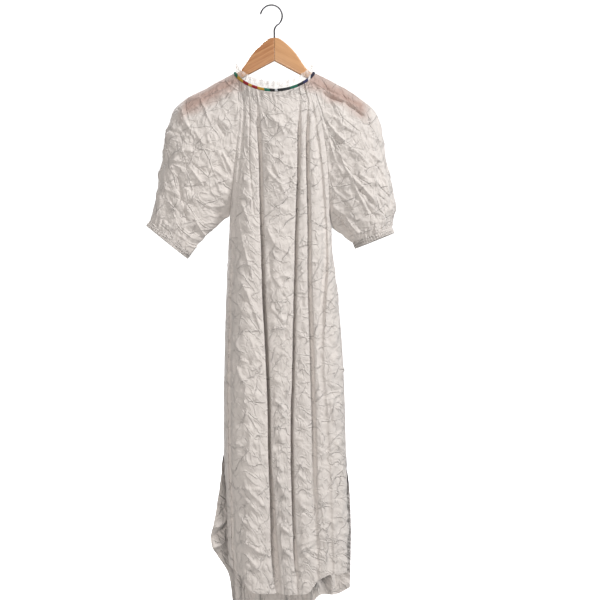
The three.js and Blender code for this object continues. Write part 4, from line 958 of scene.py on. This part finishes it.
for side, seed in (("left", 21), ("right", 34)):
    rng = random.Random(seed)
    points = sleeve_grid(side, 170, 128)
    outward = SLEEVES[side]["way"]
    normal = grid_normals(points, True, outward)
    down = lengths(points, 0)
    # Across the cloth, front and back in one: it hangs nearly flat, and runs on round its two edges.
    across, z = points[..., 0] - outward * 0.8 * np.abs(points[..., 1]), points[..., 2]
    height = np.zeros(points.shape[:2])
    for face in (-1, 1):
        marks = np.zeros(points.shape[:2])
        for line in SLEEVE_CREASES[side, face]:
            crease(marks, points[..., 0], z, line)
        height += 1.5 * marks * smooth(face * points[..., 1] / 4)  # raised, as on the panels
    reach = (float(across.min()), float(across.max()))
    slants = (20, 150, 60, 110, -40, 0, 130)
    for line in scattered(rng, 130, reach, (-550, -180), slants, (24, 60), (0.8, 1.8), (1.3, 2)):
        crease(height, across, z, line)
    height += crushed(across, z, rng)
    share = all_round(points.shape[1])[None, :]
    to_end = down[-1:] - down
    # Gathers above the cuff, and small puckers along the seam.
    wave = np.zeros(points.shape[:2])
    for turns in (13, 17, 22, 26, 31, 37):
        near = smooth(1 - to_end / rng.uniform(16, 44))
        wave += rng.uniform(0.5, 1) * np.sin(turns * share + rng.uniform(0, 6.3)) * near
    near_seam = smooth(1 - down / 60)
    puckers = sum(rng.uniform(0.5, 1) * np.sin(turns * share + rng.uniform(0, 6.3)) for turns in (19, 27, 33))
    # Over the hanger's arms the cloth is drawn tight.
    under_arm = arm_top(np.abs(points[..., 0] - STEM_X)) - z
    height *= 0.3 + 0.7 * smooth((under_arm - 4) / 40)
    height = height * smooth((down - 2) / 14) * (0.3 + 0.7 * smooth(to_end / 20))
    height += 0.9 * (0.35 + 0.65 * smooth(to_end / 8)) * wave + 0.35 * near_seam * smooth(down / 4) * puckers
    height -= 0.4 * np.exp(-((down / 2.2) ** 2))
    creased = points + normal * height[..., None]
    sleeve = add_cloth("sleeve_" + side + "_cotton", creased, True, ["sleeve_" + side], threads=(across, z))


# ------------------------------------------------------------------ cuffs
# Narrow bands of the same cotton, sewn round the gathered ends of the sleeves. Elastic is run through them,
# so that they shirr into small upright ridges.

RIDGES = 52  # round each cuff


def shirred(sleeve, seed):
    """A closed band round the sleeve's end, with its ridges."""
    rng = random.Random(seed)
    turn = all_round(416)
    phase = RIDGES * turn + 0.9 * np.sin(5 * turn + rng.uniform(0, 6))
    phase += 0.7 * np.sin(11 * turn + rng.uniform(0, 6))
    ring = sleeve_end(sleeve, turn)
    outward = ring - ring.mean(axis=0)
    outward /= np.linalg.norm(outward, axis=-1, keepdims=True)
    down = cuff_down(sleeve)
    rows = []
    # Round the outside, over the lower edge and up the inside: how far down, how far out, ridge height. The
    # two hollows between three swellings are the lines of elastic.
    for low, out, ridge in (
        (-0.5, -0.4, 0.3), (0.6, 0.4, 0.7), (2.4, 0.9, 0.9), (4.4, 0.5, 0.55), (5.4, 0.2, 0.5), (7.6, 1.1, 1.0),
        (9.8, 0.6, 0.55), (10.8, 0.3, 0.5), (12.4, 0.8, 0.8), (13.8, 0.3, 0.7), (14.1, -0.5, 0.7),
        (13.4, -1.0, 0.7), (8.0, -1.1, 0.7), (2.0, -1.0, 0.5),
    ):
        rise = out + ridge * (0.85 * np.sin(phase) + 0.35 * np.sin(2.3 * phase + low))
        rows.append(ring + outward * rise[:, None] + down * low)
    return np.array(rows)


for side, seed in (("left", 5), ("right", 8)):
    band = add_cloth("cuff_" + side + "_band", shirred(SLEEVES[side], seed), True, ["cuff_" + side])


# ------------------------------------------------------------------ neck binding
# A folded cotton tape with a printed pattern of plain colours, sewn over the gathered neck edge. The colours
# come as short blocks: green, ochre, red, black, blue and white.

printed_tape, tree, shader = material("printed cotton binding tape")
place = node(tree, "TexCoord").outputs["Object"]
shift = node(tree, "TexNoise", {"Vector": place, "Scale": 260, "Detail": 2})
parts = node(tree, "SeparateXYZ", [place])
skewed = node(tree, "Math", [shift, 0.008, parts.outputs["X"]], operation="MULTIPLY_ADD")
run = node(tree, "MapRange", {"Value": skewed, "From Min": -0.082, "From Max": 0.102})
blocks = node(tree, "ValToRGB", [run])
blocks.color_ramp.interpolation = "CONSTANT"
set_stops(blocks, [
    (0, "1f6a52"), (0.065, "b48c36"), (0.135, "8c222b"), (0.2, "ba9242"), (0.24, "92222a"),
    (0.305, "b68e36"), (0.385, "1c6b58"), (0.455, "17181b"), (0.51, "b9bcc0"), (0.545, "17181b"),
    (0.62, "2c3134"), (0.69, "1c5e4c"), (0.785, "20242c"), (0.85, "2d2f52"), (0.91, "d9d7d6"),
    (0.935, "2b2a3c"),
])
# The ribs of the tape lie 0.4 mm apart and are drawn 0.8 mm apart.
on_tape = node(tree, "UVMap", uv_map="cloth")
ribs = node(tree, "TexWave", {"Vector": on_tape, "Scale": 2500 / 6.2832, "Distortion": 0.4},
            bands_direction="X")
bump = node(tree, "Bump", {"Strength": 0.25, "Distance": 0.0002, "Height": ribs.outputs["Fac"]})
feed(shader, {"Base Color": blocks, "Normal": bump, "Roughness": 0.8, "Specular IOR Level": 0.3})

angle = all_round(300)
middle, down = neck_point(angle), neck_down(angle)
along = np.roll(middle, -1, axis=0) - np.roll(middle, 1, axis=0)
out = np.cross(along, down)
out /= np.linalg.norm(out, axis=-1, keepdims=True)
tape_rows = []
# The folded tape is 6.2 mm high and 2.9 mm thick, with round edges.
for a in np.linspace(0, 2 * math.pi, 18):
    wide, thick = 3.1 * math.sin(a), 1.45 * math.cos(a)
    # The gathers show through as a faint unevenness.
    swell = 1 + 0.07 * np.sin(61 * angle) + 0.06 * np.sin(97 * angle + 1)
    tape_rows.append(middle + down * wide + out * (thick * swell)[:, None])
tape = add_cloth("neck_binding_tape", np.array(tape_rows), True, ["neck_binding"],
                 printed_tape)


# ------------------------------------------------------------------ neck frill
# A narrow single frill of the same cotton that stands above the binding all round, with a scalloped edge.
# Its foot is caught in the binding's seam.

# The same cotton in a single layer, so sheer that what lies behind shows through it.
sheer, tree, shader = material("sheer single cotton voile")
wisp = node(tree, "TexNoise", {"Vector": node(tree, "TexCoord").outputs["Object"], "Scale": 140, "Detail": 3})
cover = node(tree, "MapRange", {"Value": wisp, "From Min": 0.35, "From Max": 0.65, "To Min": 0.16,
                                "To Max": 0.6})
feed(shader, {"Alpha": cover, "Base Color": linear("fbf8f6"), "Roughness": 0.88})

SCALLOPS = 38
FRILL_HIGH = 18
angle = all_round(912)
foot = neck_point(angle) - neck_down(angle) * (BINDING_HIGH / 2 - 0.4)
outward = np.stack([np.sin(angle), -np.cos(angle), angle * 0], axis=-1)
phase = SCALLOPS * angle + 0.8 * np.sin(5 * angle + 1) + 0.6 * np.sin(9 * angle)
frill_rows = []
for up in np.linspace(0, 1, 22):
    lean = 2 * np.cos(2 * angle) * up * up
    wave = (0.4 + (2.3 - 0.4) * up) * np.sin(phase) + 0.5 * up * np.sin(1.7 * phase + 2)
    row = foot + outward * (lean + wave)[:, None]
    row[:, 2] += FRILL_HIGH * up + 0.7 * up * np.cos(2 * phase)
    frill_rows.append(row)
frill = add_cloth("neck_frill_cotton", np.array(frill_rows), True, ["neck_frill"], finish=sheer)
